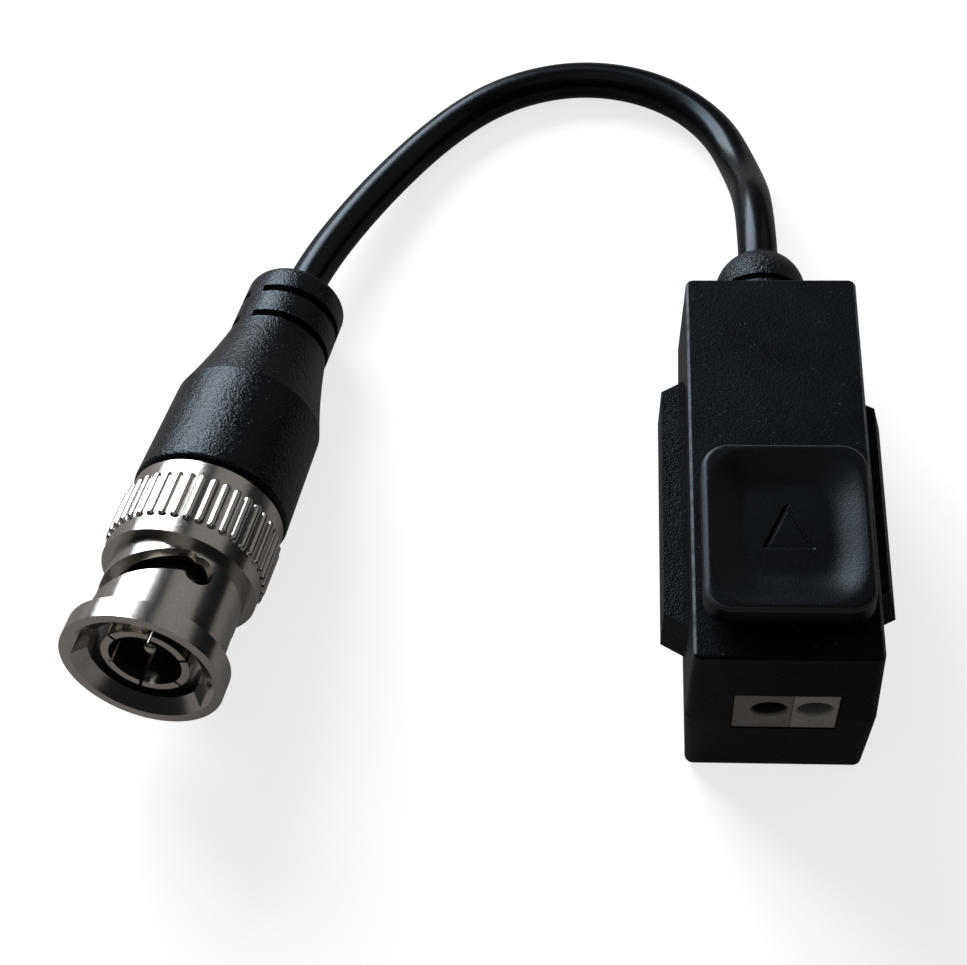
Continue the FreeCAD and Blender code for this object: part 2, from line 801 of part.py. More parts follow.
def make_balun_core():
    """The ferrite block with two bores that the winding runs through."""
    body = new_body("balun_core")
    block = new_sketch(body, "core_block", level="board_top")
    low, high = "core_middle - core_length / 2", "core_middle + core_length / 2"
    box_outline(block, "-core_width / 2", "core_width / 2", low, high)
    pad(body, block, "core_height")
    bores = new_sketch(body, "core_bores", "XZ_Plane", low)
    for side in ("-", "+"):
        circle(bores, "%s1 * core_pitch / 2" % side, "board_top + core_height / 2", "core_bore / 2")
    pocket(body, bores, "core_length")
    round_edges(body, "top_radius", is_upright)
    return body


def primitive(kind, name, sizes, base, turn=(0, 0, 1, 0)):
    """A Part primitive with its sizes and place bound to the sheet; turn is an axis and an angle."""
    piece = document.addObject("Part::" + kind, name)
    for prop, text in sizes.items():
        piece.setExpression(prop, cell(text))
    rotation = FreeCAD.Rotation(FreeCAD.Vector(*turn[:3]), turn[3])
    piece.Placement = FreeCAD.Placement(FreeCAD.Vector(), rotation)
    for axis, text in zip("xyz", base):
        piece.setExpression("Placement.Base." + axis, cell(text))
    return piece


def joined(label, pieces):
    """One object from several primitives."""
    fused = document.addObject("Part::MultiFuse", label)
    fused.Label = label
    fused.Shapes = pieces
    document.recompute()
    return fused


def make_winding():
    """The wire bundle: through both bores and round both ends of the core's middle web."""
    level = "board_top + core_height / 2"
    low, high = "core_middle - core_length / 2", "core_middle + core_length / 2"
    pieces = []
    for name, side in (("left", "-"), ("right", "+")):
        sizes = {"Radius": "bundle_width / 2", "Height": "core_length"}
        base = ("%s1 * core_pitch / 2" % side, high, level)
        pieces.append(primitive("Cylinder", "bundle_" + name, sizes, base, (1, 0, 0, 90)))
    for name, place, turn in (("front", low, 180), ("rear", high, 0)):
        sizes = {"Radius1": "core_pitch / 2", "Radius2": "bundle_width / 2", "Angle3": "180"}
        pieces.append(primitive("Torus", "bundle_" + name, sizes, ("0", place, level), (0, 0, 1, turn)))
    return joined("balun_winding", pieces)


def make_leaded(label, body_pieces, spots):
    """A component on two legs: its body with a straight leg down to the board at each spot."""
    legs = []
    for i, (x, y, level) in enumerate(spots):
        sizes = {"Radius": "lead_width / 2", "Height": level + " - board_top"}
        legs.append(primitive("Cylinder", "%s_leg_%d" % (label, i), sizes, (x, y, "board_top")))
    return joined(label, body_pieces + legs)


def make_surge_arrester():
    """A gas-filled surge arrester with metal end caps, lying across the board behind the terminals."""
    level = "board_top + arrester_width / 2 + lead_width / 2"
    sizes = {"Radius": "arrester_width / 2", "Height": "arrester_length"}
    base = ("-arrester_length / 2", "arrester_middle", level)
    can = primitive("Cylinder", "arrester_can", sizes, base, (0, 1, 0, 90))
    sizes = {"Radius": "0.4 * arrester_width", "Height": "arrester_length + 3 * lead_width"}
    base = ("-arrester_length / 2 - 1.5 * lead_width", "arrester_middle", level)
    caps = primitive("Cylinder", "arrester_caps", sizes, base, (0, 1, 0, 90))
    end = "(arrester_length / 2 + 0.75 * lead_width)"
    spots = [("-1 * " + end, "arrester_middle", level), (end, "arrester_middle", level)]
    return make_leaded("surge_arrester", [can, caps], spots)


def make_capacitor():
    """A ceramic disc capacitor standing across the board."""
    level = "board_top + disc_width / 2 + 2 * lead_width"
    sizes = {"Radius": "disc_width / 2", "Height": "disc_gauge"}
    disc = primitive("Cylinder", "disc", sizes, ("0", "disc_middle + disc_gauge / 2", level), (1, 0, 0, 90))
    spots = [("-disc_width / 4", "disc_middle", level), ("disc_width / 4", "disc_middle", level)]
    return make_leaded("disc_capacitor", [disc], spots)


def make_chips():
    """Three chip resistors, alike and apart, as one group."""
    chips = []
    beside = "(core_width / 2 + chip_gap + chip_width / 2)"
    behind = "(core_middle + core_length / 2 + 2 * chip_length)"
    spots = [("-1 * " + beside, "core_middle"), (beside, "core_middle"), ("-1 * " + beside, behind)]
    for i, (x, y) in enumerate(spots):
        sizes = {"Length": "chip_width", "Width": "chip_length", "Height": "chip_height"}
        base = (x + " - chip_width / 2", y + " - chip_length / 2", "board_top")
        chips.append(primitive("Box", "chip_%d" % i, sizes, base))
    return joined("chip_resistors", chips)


BRAID_OFFSET = "(dielectric_width / 2 + fit_gap + braid_width / 2)"
# The relief's flange clears the drafted inside of the rear wall all over.
RELIEF_SEAT = "(%s - wall - fit_gap - relief_flange / 2 * tan(draft))" % HALF_LENGTH
RELIEF_END = "(%s + relief_collar + relief_groove + relief_head)" % HALF_LENGTH
RELIEF_FACE_WIDTH = "(cable_width / 2 + cable_gap + relief_lip)"
DOME_REACH = "sqrt(relief_width * relief_width / 4 - %s * %s)" % (RELIEF_FACE_WIDTH, RELIEF_FACE_WIDTH)
RELIEF_FACE = "(%s + %s)" % (RELIEF_END, DOME_REACH)


def make_strain_relief():
    """The moulded sleeve round the cable: inner flange, waist in the wall, grooved collar and domed head."""
    body = new_body("strain_relief")
    section = new_sketch(body, "relief_section", level="parting_level")
    bore = "cable_width / 2 + cable_gap"
    outside = "%s + fit_gap" % HALF_LENGTH
    groove_low = "%s + relief_collar" % HALF_LENGTH
    groove_high = groove_low + " + relief_groove"
    outline(
        section,
        [
            (bore, RELIEF_SEAT + " - relief_flange_gauge"),
            ("relief_flange / 2", RELIEF_SEAT + " - relief_flange_gauge"),
            ("relief_flange / 2", RELIEF_SEAT),
            ("relief_neck / 2", RELIEF_SEAT),
            ("relief_neck / 2", outside),
            ("relief_width / 2", outside),
            ("relief_width / 2", groove_low),
            ("relief_groove_width / 2", groove_low),
            ("relief_groove_width / 2", groove_high),
            ("relief_width / 2", groove_high),
            ("relief_width / 2", RELIEF_END),
            (RELIEF_FACE_WIDTH, RELIEF_FACE),
            (bore, RELIEF_FACE),
        ],
        arcs={10: ("relief_width / 2", "0", RELIEF_END)},
    )
    turned(body, section)
    return body


CABLE_BARE = "(%s - relief_flange_gauge - cable_inside)" % RELIEF_SEAT


def make_cable_end():
    """The stripped end of the cable inside the housing: jacket, then bare dielectric."""
    body = new_body("cable_end")
    section = new_sketch(body, "cable_end_section", level="parting_level")
    outline(
        section,
        [
            ("0", CABLE_BARE + " - dielectric_bare"),
            ("dielectric_width / 2", CABLE_BARE + " - dielectric_bare"),
            ("dielectric_width / 2", CABLE_BARE),
            ("cable_width / 2", CABLE_BARE),
            ("cable_width / 2", RELIEF_FACE),
            ("0", RELIEF_FACE),
        ],
    )
    turned(body, section)
    return body


def make_cable_wire(label, x, start, width):
    """A wire from the stripped cable, forward and down to its pad on the board."""
    body = new_body(label)
    path = new_sketch(body, label + "_path", "YZ_Plane", x)
    pad_place = CABLE_BARE + " - dielectric_bare - lead_reach / 2"
    corners = [(start, "parting_level"), (pad_place, "parting_level"), (pad_place, "board_top")]
    bent_path(path, corners, "lead_bend")
    round_wire = new_sketch(body, label + "_round", "XZ_Plane", start)
    circle(round_wire, x, "parting_level", width + " / 2")
    document.recompute()
    along(body, round_wire, path)
    return body


def plug_placement(roll="0"):
    """From a plug piece's own frame, +Z from the mating end back, to where it lies on its boot."""
    drop = number("(boot_width - boot_collar_width) / 2")
    tilt = math.atan2(drop, number("boot_cone + boot_collar - boot_dome"))
    heel = number("boot_start + boot_barrel")
    level = heel * math.sin(tilt) + number("boot_width / 2") * math.cos(tilt)
    tip = FreeCAD.Vector(number("plug_x"), number("plug_y"), level)
    turn = FreeCAD.Rotation(FreeCAD.Vector(0, 0, 1), -number("plug_turn"))
    lay_down = FreeCAD.Rotation(FreeCAD.Vector(1, 0, 0), -90 - math.degrees(tilt))
    own_roll = FreeCAD.Rotation(FreeCAD.Vector(0, 0, 1), number(roll))
    return FreeCAD.Placement(tip, turn * lay_down * own_roll)


def plug_body(label, roll="0"):
    body = new_body(label)
    body.Placement = plug_placement(roll)
    return body


def make_turned(label, corners, arcs=None, roll="0"):
    """A plug piece turned about the plug's axis from a half section of (radius, distance back)."""
    body = plug_body(label, roll)
    section = new_sketch(body, label + "_section", "XZ_Plane")
    outline(section, corners, arcs)
    turned(body, section)
    return body


SHOULDER = "(flange_place - stack_gap)"
WAVE_START = "(flange_place + flange_gauge + stack_gap)"
THRUST_START = "(%s + wave_height + stack_gap)" % WAVE_START
RING_START = "(%s + thrust_gauge + stack_gap)" % THRUST_START
CONTACT_RADIUS = "(contact_width / 2)"
CONTACT_BORE = "(contact_width / 2 - contact_gauge)"
WASHER_INNER = "(neck_width / 2 + washer_gap)"
WASHER_OUTER = "(nut_chamber / 2 - washer_gap)"
GASKET_START = "(flange_place - gasket_gauge)"


def radial_hole(body, name, turn, place, width):
    """A round hole through the wall of a turned piece, at an angle round its axis and a distance back."""
    plane = next(item for item in body.Origin.OriginFeatures if item.Role == "XY_Plane")
    before = body.Shape.Volume
    hole = body.newObject("PartDesign::SubtractiveCylinder", name)
    hole.AttachmentSupport = (plane, [""])
    hole.MapMode = "FlatFace"
    angle = math.radians(number(turn))
    outward = FreeCAD.Vector(math.cos(angle), math.sin(angle), 0)
    upward = FreeCAD.Vector(0, 0, 1)
    hole.AttachmentOffset = FreeCAD.Placement(FreeCAD.Vector(), FreeCAD.Rotation(upward, outward))
    hole.setExpression("AttachmentOffset.Base.z", cell(place))
    hole.setExpression("Radius", cell(width + " / 2"))
    hole.setExpression("Height", cell("knurl_width"))
    document.recompute()
    if body.Shape.Volume >= before:
        raise RuntimeError(name + " cuts nothing")
    return hole


def spiral_slot(body, name, inner, outer):
    """One spiral stretch of the bayonet slots, swept from a radius range on the body's X axis."""
    low, high = "slot_place - slot_width / 2", "slot_place + slot_width / 2"
    profile = new_sketch(body, name + "_slot_profile", "XZ_Plane")
    box_outline(profile, inner, outer, low, high)
    before = body.Shape.Volume
    spiral = body.newObject("PartDesign::SubtractiveHelix", name + "_slot")
    spiral.Profile = profile
    spiral.ReferenceAxis = (profile, ["V_Axis"])
    spiral.Mode = "height-turns-angle"
    spiral.setExpression("Height", cell("slot_rise"))
    spiral.setExpression("Turns", cell("slot_turn / 360"))
    spiral.Angle = 0
    document.recompute()
    if body.Shape.Volume >= before:
        raise RuntimeError(name + " bayonet slot cuts nothing")


def make_coupling_nut():
    """The bayonet nut: flanged sleeve with two spiral slots ending in round detents, and a knurled grip."""
    groove = "nut_chamber / 2 + ring_groove_depth"
    groove_low, groove_high = RING_START + " - fit_gap", RING_START + " + ring_gauge + fit_gap"
    fillet_outer = "(nut_sleeve_width / 2 + nut_fillet)"
    fillet_end = "(nut_flange + nut_fillet)"
    body = make_turned(
        "coupling_nut",
        [
            ("mouth_width / 2", "0"),
            ("nut_flange_width / 2", "0"),
            ("nut_flange_width / 2", "nut_flange"),
            (fillet_outer, "nut_flange"),
            ("nut_sleeve_width / 2", fillet_end),
            ("nut_sleeve_width / 2", "knurl_start"),
            ("knurl_width / 2 - knurl_chamfer", "knurl_start"),
            ("knurl_width / 2", "knurl_start + knurl_chamfer"),
            ("knurl_width / 2", "nut_length - knurl_chamfer"),
            ("knurl_width / 2 - knurl_chamfer", "nut_length"),
            ("nut_chamber / 2", "nut_length"),
            ("nut_chamber / 2", groove_high),
            (groove, groove_high),
            (groove, groove_low),
            ("nut_chamber / 2", groove_low),
            ("nut_chamber / 2", SHOULDER),
            ("nut_bore / 2", SHOULDER),
            ("nut_bore / 2", "mouth_depth"),
        ],
        arcs={3: ("nut_fillet", fillet_outer, fillet_end)},
        roll="nut_roll",
    )
    half = "slot_width / 2"
    lead_in = new_sketch(body, "slot_lead_in", "YZ_Plane")
    outline(
        lead_in,
        [
            ("-lead_in_width / 2", "0"),
            ("lead_in_width / 2", "0"),
            (half, "lead_in"),
            ("-" + half, "lead_in"),
        ],
    )
    cuts = [pocket(body, lead_in, "lead_in_depth", back=True)]
    entry = new_sketch(body, "slot_entry")
    box_outline(entry, "0.6 * nut_bore / 2", "slot_depth", "-" + half, half)
    cuts.append(pocket(body, entry, "slot_place", back=True))
    spiral_slot(body, "first", "0.8 * nut_bore / 2", "nut_flange_width / 2")
    spiral_slot(body, "second", "-0.8 * nut_bore / 2", "-nut_flange_width / 2")
    cuts.append(radial_hole(body, "slot_begin", "0", "slot_place", "slot_width"))
    cuts.append(radial_hole(body, "slot_end", "slot_turn", "slot_place + slot_rise", "slot_width"))
    detent_place = "slot_place + slot_rise - detent_dip"
    cuts.append(radial_hole(body, "detent", "detent_turn", detent_place, "detent_width"))
    repeat(body, cuts, 2, "Z_Axis")

    flute = new_sketch(body, "flute", level="knurl_start + knurl_rim")
    pitch = "(pi * knurl_width / knurl_count)"
    outline(
        flute,
        [
            ("knurl_width / 2 - knurl_depth", "0"),
            ("knurl_width / 2 + knurl_depth", "-knurl_groove * " + pitch),
            ("knurl_width / 2 + knurl_depth", "knurl_groove * " + pitch),
        ],
    )
    flutes = pocket(body, flute, "nut_length - knurl_start - 2 * knurl_rim", back=True)
    repeat(body, [flutes], "knurl_count", "Z_Axis")
    return body


def make_plug_body():
    """The plug's metal body: flange in the nut, neck, and the stem that the cable is crimped on."""
    seat_end = "flange_place + contact_seat"
    return make_turned(
        "plug_body",
        [
            (CONTACT_RADIUS + " + seat_gap", "flange_place"),
            ("flange_width / 2", "flange_place"),
            ("flange_width / 2", "flange_place + flange_gauge"),
            ("neck_width / 2", "flange_place + flange_gauge"),
            ("neck_width / 2", "neck_end"),
            ("crimp_stem / 2", "neck_end"),
            ("crimp_stem / 2", "crimp_end"),
            ("stem_bore / 2", "crimp_end"),
            ("stem_bore / 2", "insulator_rear"),
            (CONTACT_BORE, "insulator_rear"),
            (CONTACT_BORE, seat_end),
            (CONTACT_RADIUS + " + seat_gap", seat_end),
        ],
    )


def make_outer_contact():
    """The springy contact sleeve, slit from its front into six fingers and seated in the plug's body."""
    end = "flange_place + contact_seat"
    body = make_turned(
        "outer_contact",
        [
            (CONTACT_BORE, "contact_recess"),
            (CONTACT_RADIUS, "contact_recess"),
            (CONTACT_RADIUS, end),
            (CONTACT_BORE, end),
        ],
        roll="contact_roll",
    )
    slit = new_sketch(body, "slit", level="contact_recess")
    inner, outer = "0.8 * contact_width / 2", "1.2 * contact_width / 2"
    box_outline(slit, "-slit_width / 2", "slit_width / 2", inner, outer)
    cut = pocket(body, slit, "slit_length", back=True)
    repeat(body, [cut], "slit_count", "Z_Axis")
    return body


def make_insulator():
    """The white dielectric between the contact sleeve and the centre pin."""
    return make_turned(
        "insulator",
        [
            ("shank_width / 2 + seat_gap", "insulator_front"),
            (CONTACT_BORE + " - seat_gap", "insulator_front"),
            (CONTACT_BORE + " - seat_gap", "insulator_rear"),
            ("shank_width / 2 + seat_gap", "insulator_rear"),
        ],
    )


def make_centre_pin():
    """The centre contact: thin round-nosed pin in front, thicker crimped shank in the insulator."""
    nose, nose_end = "(pin_diameter / 2 - pin_tip)", "(pin_recess + pin_tip)"
    return make_turned(
        "centre_pin",
        [
            ("0", "pin_recess"),
            (nose, "pin_recess"),
            ("pin_diameter / 2", nose_end),
            ("pin_diameter / 2", "insulator_front"),
            ("shank_width / 2", "insulator_front"),
            ("shank_width / 2", "shank_end"),
            ("0", "shank_end"),
        ],
        arcs={1: ("pin_tip", nose, nose_end)},
    )


def make_ring(label, inner, outer, start, gauge):
    """A flat ring round the plug's axis."""
    end = "%s + %s" % (start, gauge)
    return make_turned(label, [(inner, start), (outer, start), (outer, end), (inner, end)])


def make_retaining_ring():
    """The snap ring in the nut's groove, open at its mouth so that it can be squeezed in."""
    outer = "nut_chamber / 2 + ring_groove_depth - fit_gap"
    body = make_ring("retaining_ring", WASHER_INNER, outer, RING_START, "ring_gauge")
    mouth = new_sketch(body, "ring_mouth", level=RING_START)
    box_outline(mouth, "0", "nut_chamber", "-ring_mouth / 2", "ring_mouth / 2")
    pocket(body, mouth, "ring_gauge", back=True)
    return body


def make_wave_washer():
    """The spring washer behind the flange: a thin ring bent into even waves."""
    gauge, swing = number("wave_gauge"), number("(wave_height - wave_gauge) / 2")
    start, waves = number(WAVE_START), int(number("wave_count"))
    edges = []
    for radius in (number(WASHER_INNER), number(WASHER_OUTER)):
        points = []
        steps = 8 * waves
        for i in range(steps):
            angle = 2 * math.pi * i / steps
            level = start + swing * (1 + math.cos(waves * angle))
            points.append(FreeCAD.Vector(radius * math.cos(angle), radius * math.sin(angle), level))
        curve = Part.BSplineCurve()
        curve.interpolate(points, PeriodicFlag=True)
        edges.append(curve.toShape())
    face = Part.makeRuledSurface(edges[0], edges[1])
    washer = document.addObject("Part::Feature", "wave_washer")
    washer.Label = "wave_washer"
    washer.Shape = face.extrude(FreeCAD.Vector(0, 0, gauge))
    washer.Placement = plug_placement()
    return washer


def make_crimp_ferrule():
    """The ferrule that clamps the cable's braid on the stem."""
    inner = "(cable_width / 2 + cable_gap)"
    outer = "(cable_width / 2 + cable_gap + ferrule_gauge)"
    return make_ring("crimp_ferrule", inner, outer, "(neck_end + stack_gap)", "ferrule_length")


BOOT_CONE_START = "(boot_start + boot_barrel)"
BOOT_CONE_END = "(boot_start + boot_barrel + boot_cone)"
BOOT_END = "(boot_start + boot_barrel + boot_cone + boot_collar)"


def make_plug_cable_end():
    """The cable's other stripped end: dielectric in the stem, jacket from there to the boot's back."""
    return make_turned(
        "plug_cable_end",
        [
            ("0", "shank_end"),
            ("dielectric_width / 2", "shank_end"),
            ("dielectric_width / 2", "crimp_end + stack_gap"),
            ("cable_width / 2", "crimp_end + stack_gap"),
            ("cable_width / 2", BOOT_END),
            ("0", BOOT_END),
        ],
    )


def hollow_arc(start, end, radius):
    """For outline(): the arc between two corners that bows in toward the axis, as radius and centre."""
    near = FreeCAD.Vector(number(start[0]), number(start[1]), 0)
    far = FreeCAD.Vector(number(end[0]), number(end[1]), 0)
    half = (far - near) * 0.5
    reach = math.sqrt(number(radius) ** 2 - half.Length**2)
    centre = near + half + FreeCAD.Vector(half.y, -half.x, 0).normalize() * reach
    return radius, "%.6f" % centre.x, "%.6f" % centre.y


def make_plug_boot():
    """The moulded boot: barrel grip, hollow cone, and a collar slotted so that it bends with the cord."""
    ferrule_bore = "cable_width / 2 + cable_gap + ferrule_gauge + seat_gap"
    ferrule_end = "neck_end + 2 * stack_gap + ferrule_length"
    cable_bore = "cable_width / 2 + seat_gap"
    cone_start, cone_end = ("boot_width / 2", BOOT_CONE_START), ("boot_collar_width / 2", BOOT_CONE_END)
    dome_inner, dome_start = "(boot_collar_width / 2 - boot_dome)", "(%s - boot_dome)" % BOOT_END
    edge_inner, edge_end = "(boot_front_width / 2 - boot_edge)", "(boot_start + boot_edge)"
    body = make_turned(
        "plug_boot",
        [
            ("neck_width / 2 + seat_gap", "boot_start"),
            (edge_inner, "boot_start"),
            ("boot_front_width / 2", edge_end),
            cone_start,
            cone_end,
            ("boot_collar_width / 2", dome_start),
            (dome_inner, BOOT_END),
            (cable_bore, BOOT_END),
            (cable_bore, ferrule_end),
            (ferrule_bore, ferrule_end),
            (ferrule_bore, "neck_end + stack_gap"),
            ("neck_width / 2 + seat_gap", "neck_end + stack_gap"),
        ],
        arcs={
            1: ("boot_edge", edge_inner, edge_end),
            3: hollow_arc(cone_start, cone_end, "boot_hollow"),
            5: ("boot_dome", dome_inner, dome_start),
        },
        roll="boot_roll",
    )
    slots = []
    inner, outer = "boot_collar_width / 2 - boot_slot_depth", "boot_collar_width / 2 + boot_slot"
    for i, shift in enumerate(("0", "boot_slot_pitch")):
        middle = "%s + boot_slot_first + %s" % (BOOT_CONE_END, shift)
        slot = new_sketch(body, "boot_slot_%d" % i, "XZ_Plane")
        box_outline(slot, inner, outer, middle + " - boot_slot / 2", middle + " + boot_slot / 2")
        slots.append(turned(body, slot, cut=True, angle="boot_slot_angle"))
    repeat(body, slots, 2, "Z_Axis")
    return body


# The cord's route from the strain relief round to the boot, as chosen: x, y, and the height above
# where it would lie on the ground.
CORD_POINTS = [
    (0.5, 43.9, 5.6),
    (-1.3, 50.6, 3.5),
    (-5.5, 56.3, 1.8),
    (-11.5, 60.2, 0.6),
    (-18.6, 61.8, 0.1),
    (-25.8, 60.9, 0.0),
    (-32.1, 57.5, 0.0),
    (-37.0, 52.2, 0.0),
    (-40.0, 45.6, 0.0),
]


def cord_path():
    """The cord's line as a wire: straight runs between the points, joined by tangent arcs."""
    radius = number("cable_width / 2")
    level = number("parting_level")
    start = FreeCAD.Vector(0, number(RELIEF_FACE), level)
    leave = start + FreeCAD.Vector(0, number("cord_first_run"), 0)
    end = plug_placement().multVec(FreeCAD.Vector(0, 0, number(BOOT_END)))
    arrive = plug_placement().multVec(FreeCAD.Vector(0, 0, number(BOOT_END + " + cord_last_run")))
    between = [FreeCAD.Vector(x, y, radius + rise) for x, y, rise in CORD_POINTS]
    points = [start, leave] + between + [arrive, end]
    edges = []
    here = start
    bends = []
    for before, corner, after in zip(points, points[1:], points[2:]):
        into, out = (corner - before), (after - corner)
        shorter = min(into.Length, out.Length)
        turn = into.getAngle(out)
        bend = 0.45 * shorter / math.tan(turn / 2)
        into.normalize()
        out.normalize()
        begin, finish = corner - into * (0.45 * shorter), corner + out * (0.45 * shorter)
        inward = (out - into).normalize()
        middle = corner + inward * (bend / math.cos(turn / 2) - bend)
        edges.append(Part.LineSegment(here, begin).toShape())
        edges.append(Part.Arc(begin, middle, finish).toShape())
        here = finish
        bends.append(bend)
    edges.append(Part.LineSegment(here, end).toShape())
    path = Part.Wire(edges)
    print("cord length %.1f, bend radii %s" % (path.Length, ", ".join("%.1f" % bend for bend in bends)))
    return path, start, leave - start


def swept_rod(path, start, direction, radius):
    """A round rod along the path, whose volume has to be its section times its length."""
    ring = Part.Wire([Part.makeCircle(radius, start, direction)])
    rod = path.makePipeShell([ring], True, True)
    expected = math.pi * radius**2 * path.Length
    if abs(rod.Volume - expected) > 0.01 * expected:
        raise RuntimeError("the cord's rod has volume %.2f, not %.2f" % (rod.Volume, expected))
    return rod


def make_free_cable():
    """The free stretch of the cable: the jacket with its filling, and the copper inside it.

    The copper is one rod with the joint section of the braid and the centre wire.
    """
    path, start, direction = cord_path()
    copper = number("sqrt(conductor_width * conductor_width + braid_width * braid_width) / 2")
    jacket = swept_rod(path, start, direction, number("cable_width / 2"))
    hollow = swept_rod(path, start, direction, copper + number("seat_gap"))
    cord = document.addObject("Part::Feature", "cord")
    cord.Label = "cord"
    cord.Shape = jacket.cut(hollow)
    core = document.addObject("Part::Feature", "cord_core")
    core.Label = "cord_core"
    core.Shape = swept_rod(path, start, direction, copper)
    return [cord, core]


def write(pieces):
    """Checks every object and each piece's shape, then writes one file for each piece."""
    failed = [item.Name for item in document.Objects if {"Invalid", "Error"} & set(item.State)]
    if failed:
        raise RuntimeError("failed objects: " + ", ".join(failed))
    os.makedirs("parts", exist_ok=True)
    for piece in pieces:
        shape = piece.Shape
        if shape.isNull() or not shape.isValid() or not shape.Solids:
            raise RuntimeError("bad shape: " + piece.Label)
        shape.exportStep("parts/%s.step" % piece.Label)
        print("%-22s %2d solid %10.3f mm3" % (piece.Label, len(shape.Solids), shape.Volume))


pieces = [
    make_upper_shell(),
    make_lower_shell(),
    make_press_button(),
    make_pole("left_terminal", POLE_LEFT, "pole_seam - pole_gap / 2", LEFT_BORE),
    make_pole("right_terminal", "pole_seam + pole_gap / 2", POLE_RIGHT, RIGHT_BORE),
    make_contact_frame("left_contact", LEFT_BORE),
    make_contact_frame("right_contact", RIGHT_BORE),
    make_clamp_spring("left_clamp_spring", LEFT_BORE),
    make_clamp_spring("right_clamp_spring", RIGHT_BORE),
    make_circuit_board(),
    make_balun_core(),
    make_winding(),
    make_surge_arrester(),
    make_capacitor(),
    make_chips(),
    make_strain_relief(),
    make_cable_end(),
    make_cable_wire("centre_wire", "0", CABLE_BARE + " - dielectric_bare", "conductor_width"),
    make_cable_wire("braid_wire", "-1 * " + BRAID_OFFSET, CABLE_BARE, "braid_width"),
    make_coupling_nut(),
    make_plug_body(),
    make_outer_contact(),
    make_insulator(),
    make_centre_pin(),
    make_ring("gasket", CONTACT_RADIUS + " + stack_gap", "gasket_width / 2", GASKET_START, "gasket_gauge"),
    make_wave_washer(),
    make_ring("thrust_washer", WASHER_INNER, WASHER_OUTER, THRUST_START, "thrust_gauge"),
    make_retaining_ring(),
    make_crimp_ferrule(),
    make_plug_cable_end(),
    make_plug_boot(),
    *make_free_cable(),
]
write(pieces)
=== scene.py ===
import math

import bmesh
import bpy
from mathutils import Matrix, Vector
from mathutils.geometry import delaunay_2d_cdt


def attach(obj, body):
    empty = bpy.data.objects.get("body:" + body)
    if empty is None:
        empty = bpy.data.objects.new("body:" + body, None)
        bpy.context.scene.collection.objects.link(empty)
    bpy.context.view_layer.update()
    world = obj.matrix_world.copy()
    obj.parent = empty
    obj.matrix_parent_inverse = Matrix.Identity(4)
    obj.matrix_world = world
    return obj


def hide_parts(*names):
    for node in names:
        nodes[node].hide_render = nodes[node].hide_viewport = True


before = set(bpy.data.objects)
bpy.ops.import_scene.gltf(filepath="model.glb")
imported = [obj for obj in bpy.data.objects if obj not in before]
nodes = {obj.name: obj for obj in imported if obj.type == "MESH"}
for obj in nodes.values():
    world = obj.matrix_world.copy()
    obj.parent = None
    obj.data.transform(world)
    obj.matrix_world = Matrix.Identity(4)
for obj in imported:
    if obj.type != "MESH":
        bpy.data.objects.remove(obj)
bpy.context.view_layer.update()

# Camera, table and light: the part lies on a plain pale table, lit by a window-like softbox low at
# the back left. The camera looks down on the terminals' end from above and in front, a little rolled.
camera_place = (-0.01482, -0.09515, 0.15888)
camera_lens = 72.58
view_down = math.radians(56.22)
view_yaw = math.radians(6.486)
view_roll = math.radians(5.026)

forward = Vector(
    (
        -math.sin(view_yaw) * math.cos(view_down),
        math.cos(view_yaw) * math.cos(view_down),
        -math.sin(view_down),
    )
)
level_right = Vector((math.cos(view_yaw), math.sin(view_yaw), 0))
level_down = Vector(
    (
        math.sin(view_yaw) * math.sin(view_down),
        -math.cos(view_yaw) * math.sin(view_down),
        -math.cos(view_down),
    )
)
right = math.cos(view_roll) * level_right + math.sin(view_roll) * level_down
down = -math.sin(view_roll) * level_right + math.cos(view_roll) * level_down

camera_data = bpy.data.cameras.new("camera")
camera_data.sensor_width = 36.0
camera_data.lens = camera_lens
camera_data.clip_start = 0.005
camera_data.clip_end = 10.0
camera = bpy.data.objects.new("camera", camera_data)
bpy.context.scene.collection.objects.link(camera)
camera.matrix_world = Matrix.Translation(camera_place) @ Matrix(
    (
        (right.x, -down.x, -forward.x),
        (right.y, -down.y, -forward.y),
        (right.z, -down.z, -forward.z),
    )
).to_4x4()
bpy.context.scene.camera = camera
bpy.context.scene.view_settings.view_transform = "Standard"


def add_softbox(name, place, aim, width, height, radiance, colour):
    """A rectangular soft light that faces a point; its power follows from how bright its face is."""
    light = bpy.data.lights.new(name, "AREA")
    light.shape = "RECTANGLE"
    light.size, light.size_y = width, height
    light.energy = radiance * math.pi * width * height
    light.color = colour
    softbox = bpy.data.objects.new(name, light)
    bpy.context.scene.collection.objects.link(softbox)
    softbox.location = place
    softbox.rotation_euler = (Vector(aim) - Vector(place)).to_track_quat("-Z", "Y").to_euler()


middle = (-0.02, 0.01, 0.005)
add_softbox("window_softbox", (-0.25, 0.37, 0.24), middle, 0.32, 0.28, 11.8, (0.88, 0.94, 1.0))
add_softbox("ceiling_softbox", (-0.10, -0.10, 0.60), middle, 0.50, 0.50, 0.35, (1.0, 0.97, 0.93))
add_softbox("wall_softbox", (0.45, 0.35, 0.45), middle, 0.70, 0.50, 0.30, (1.0, 0.97, 0.94))

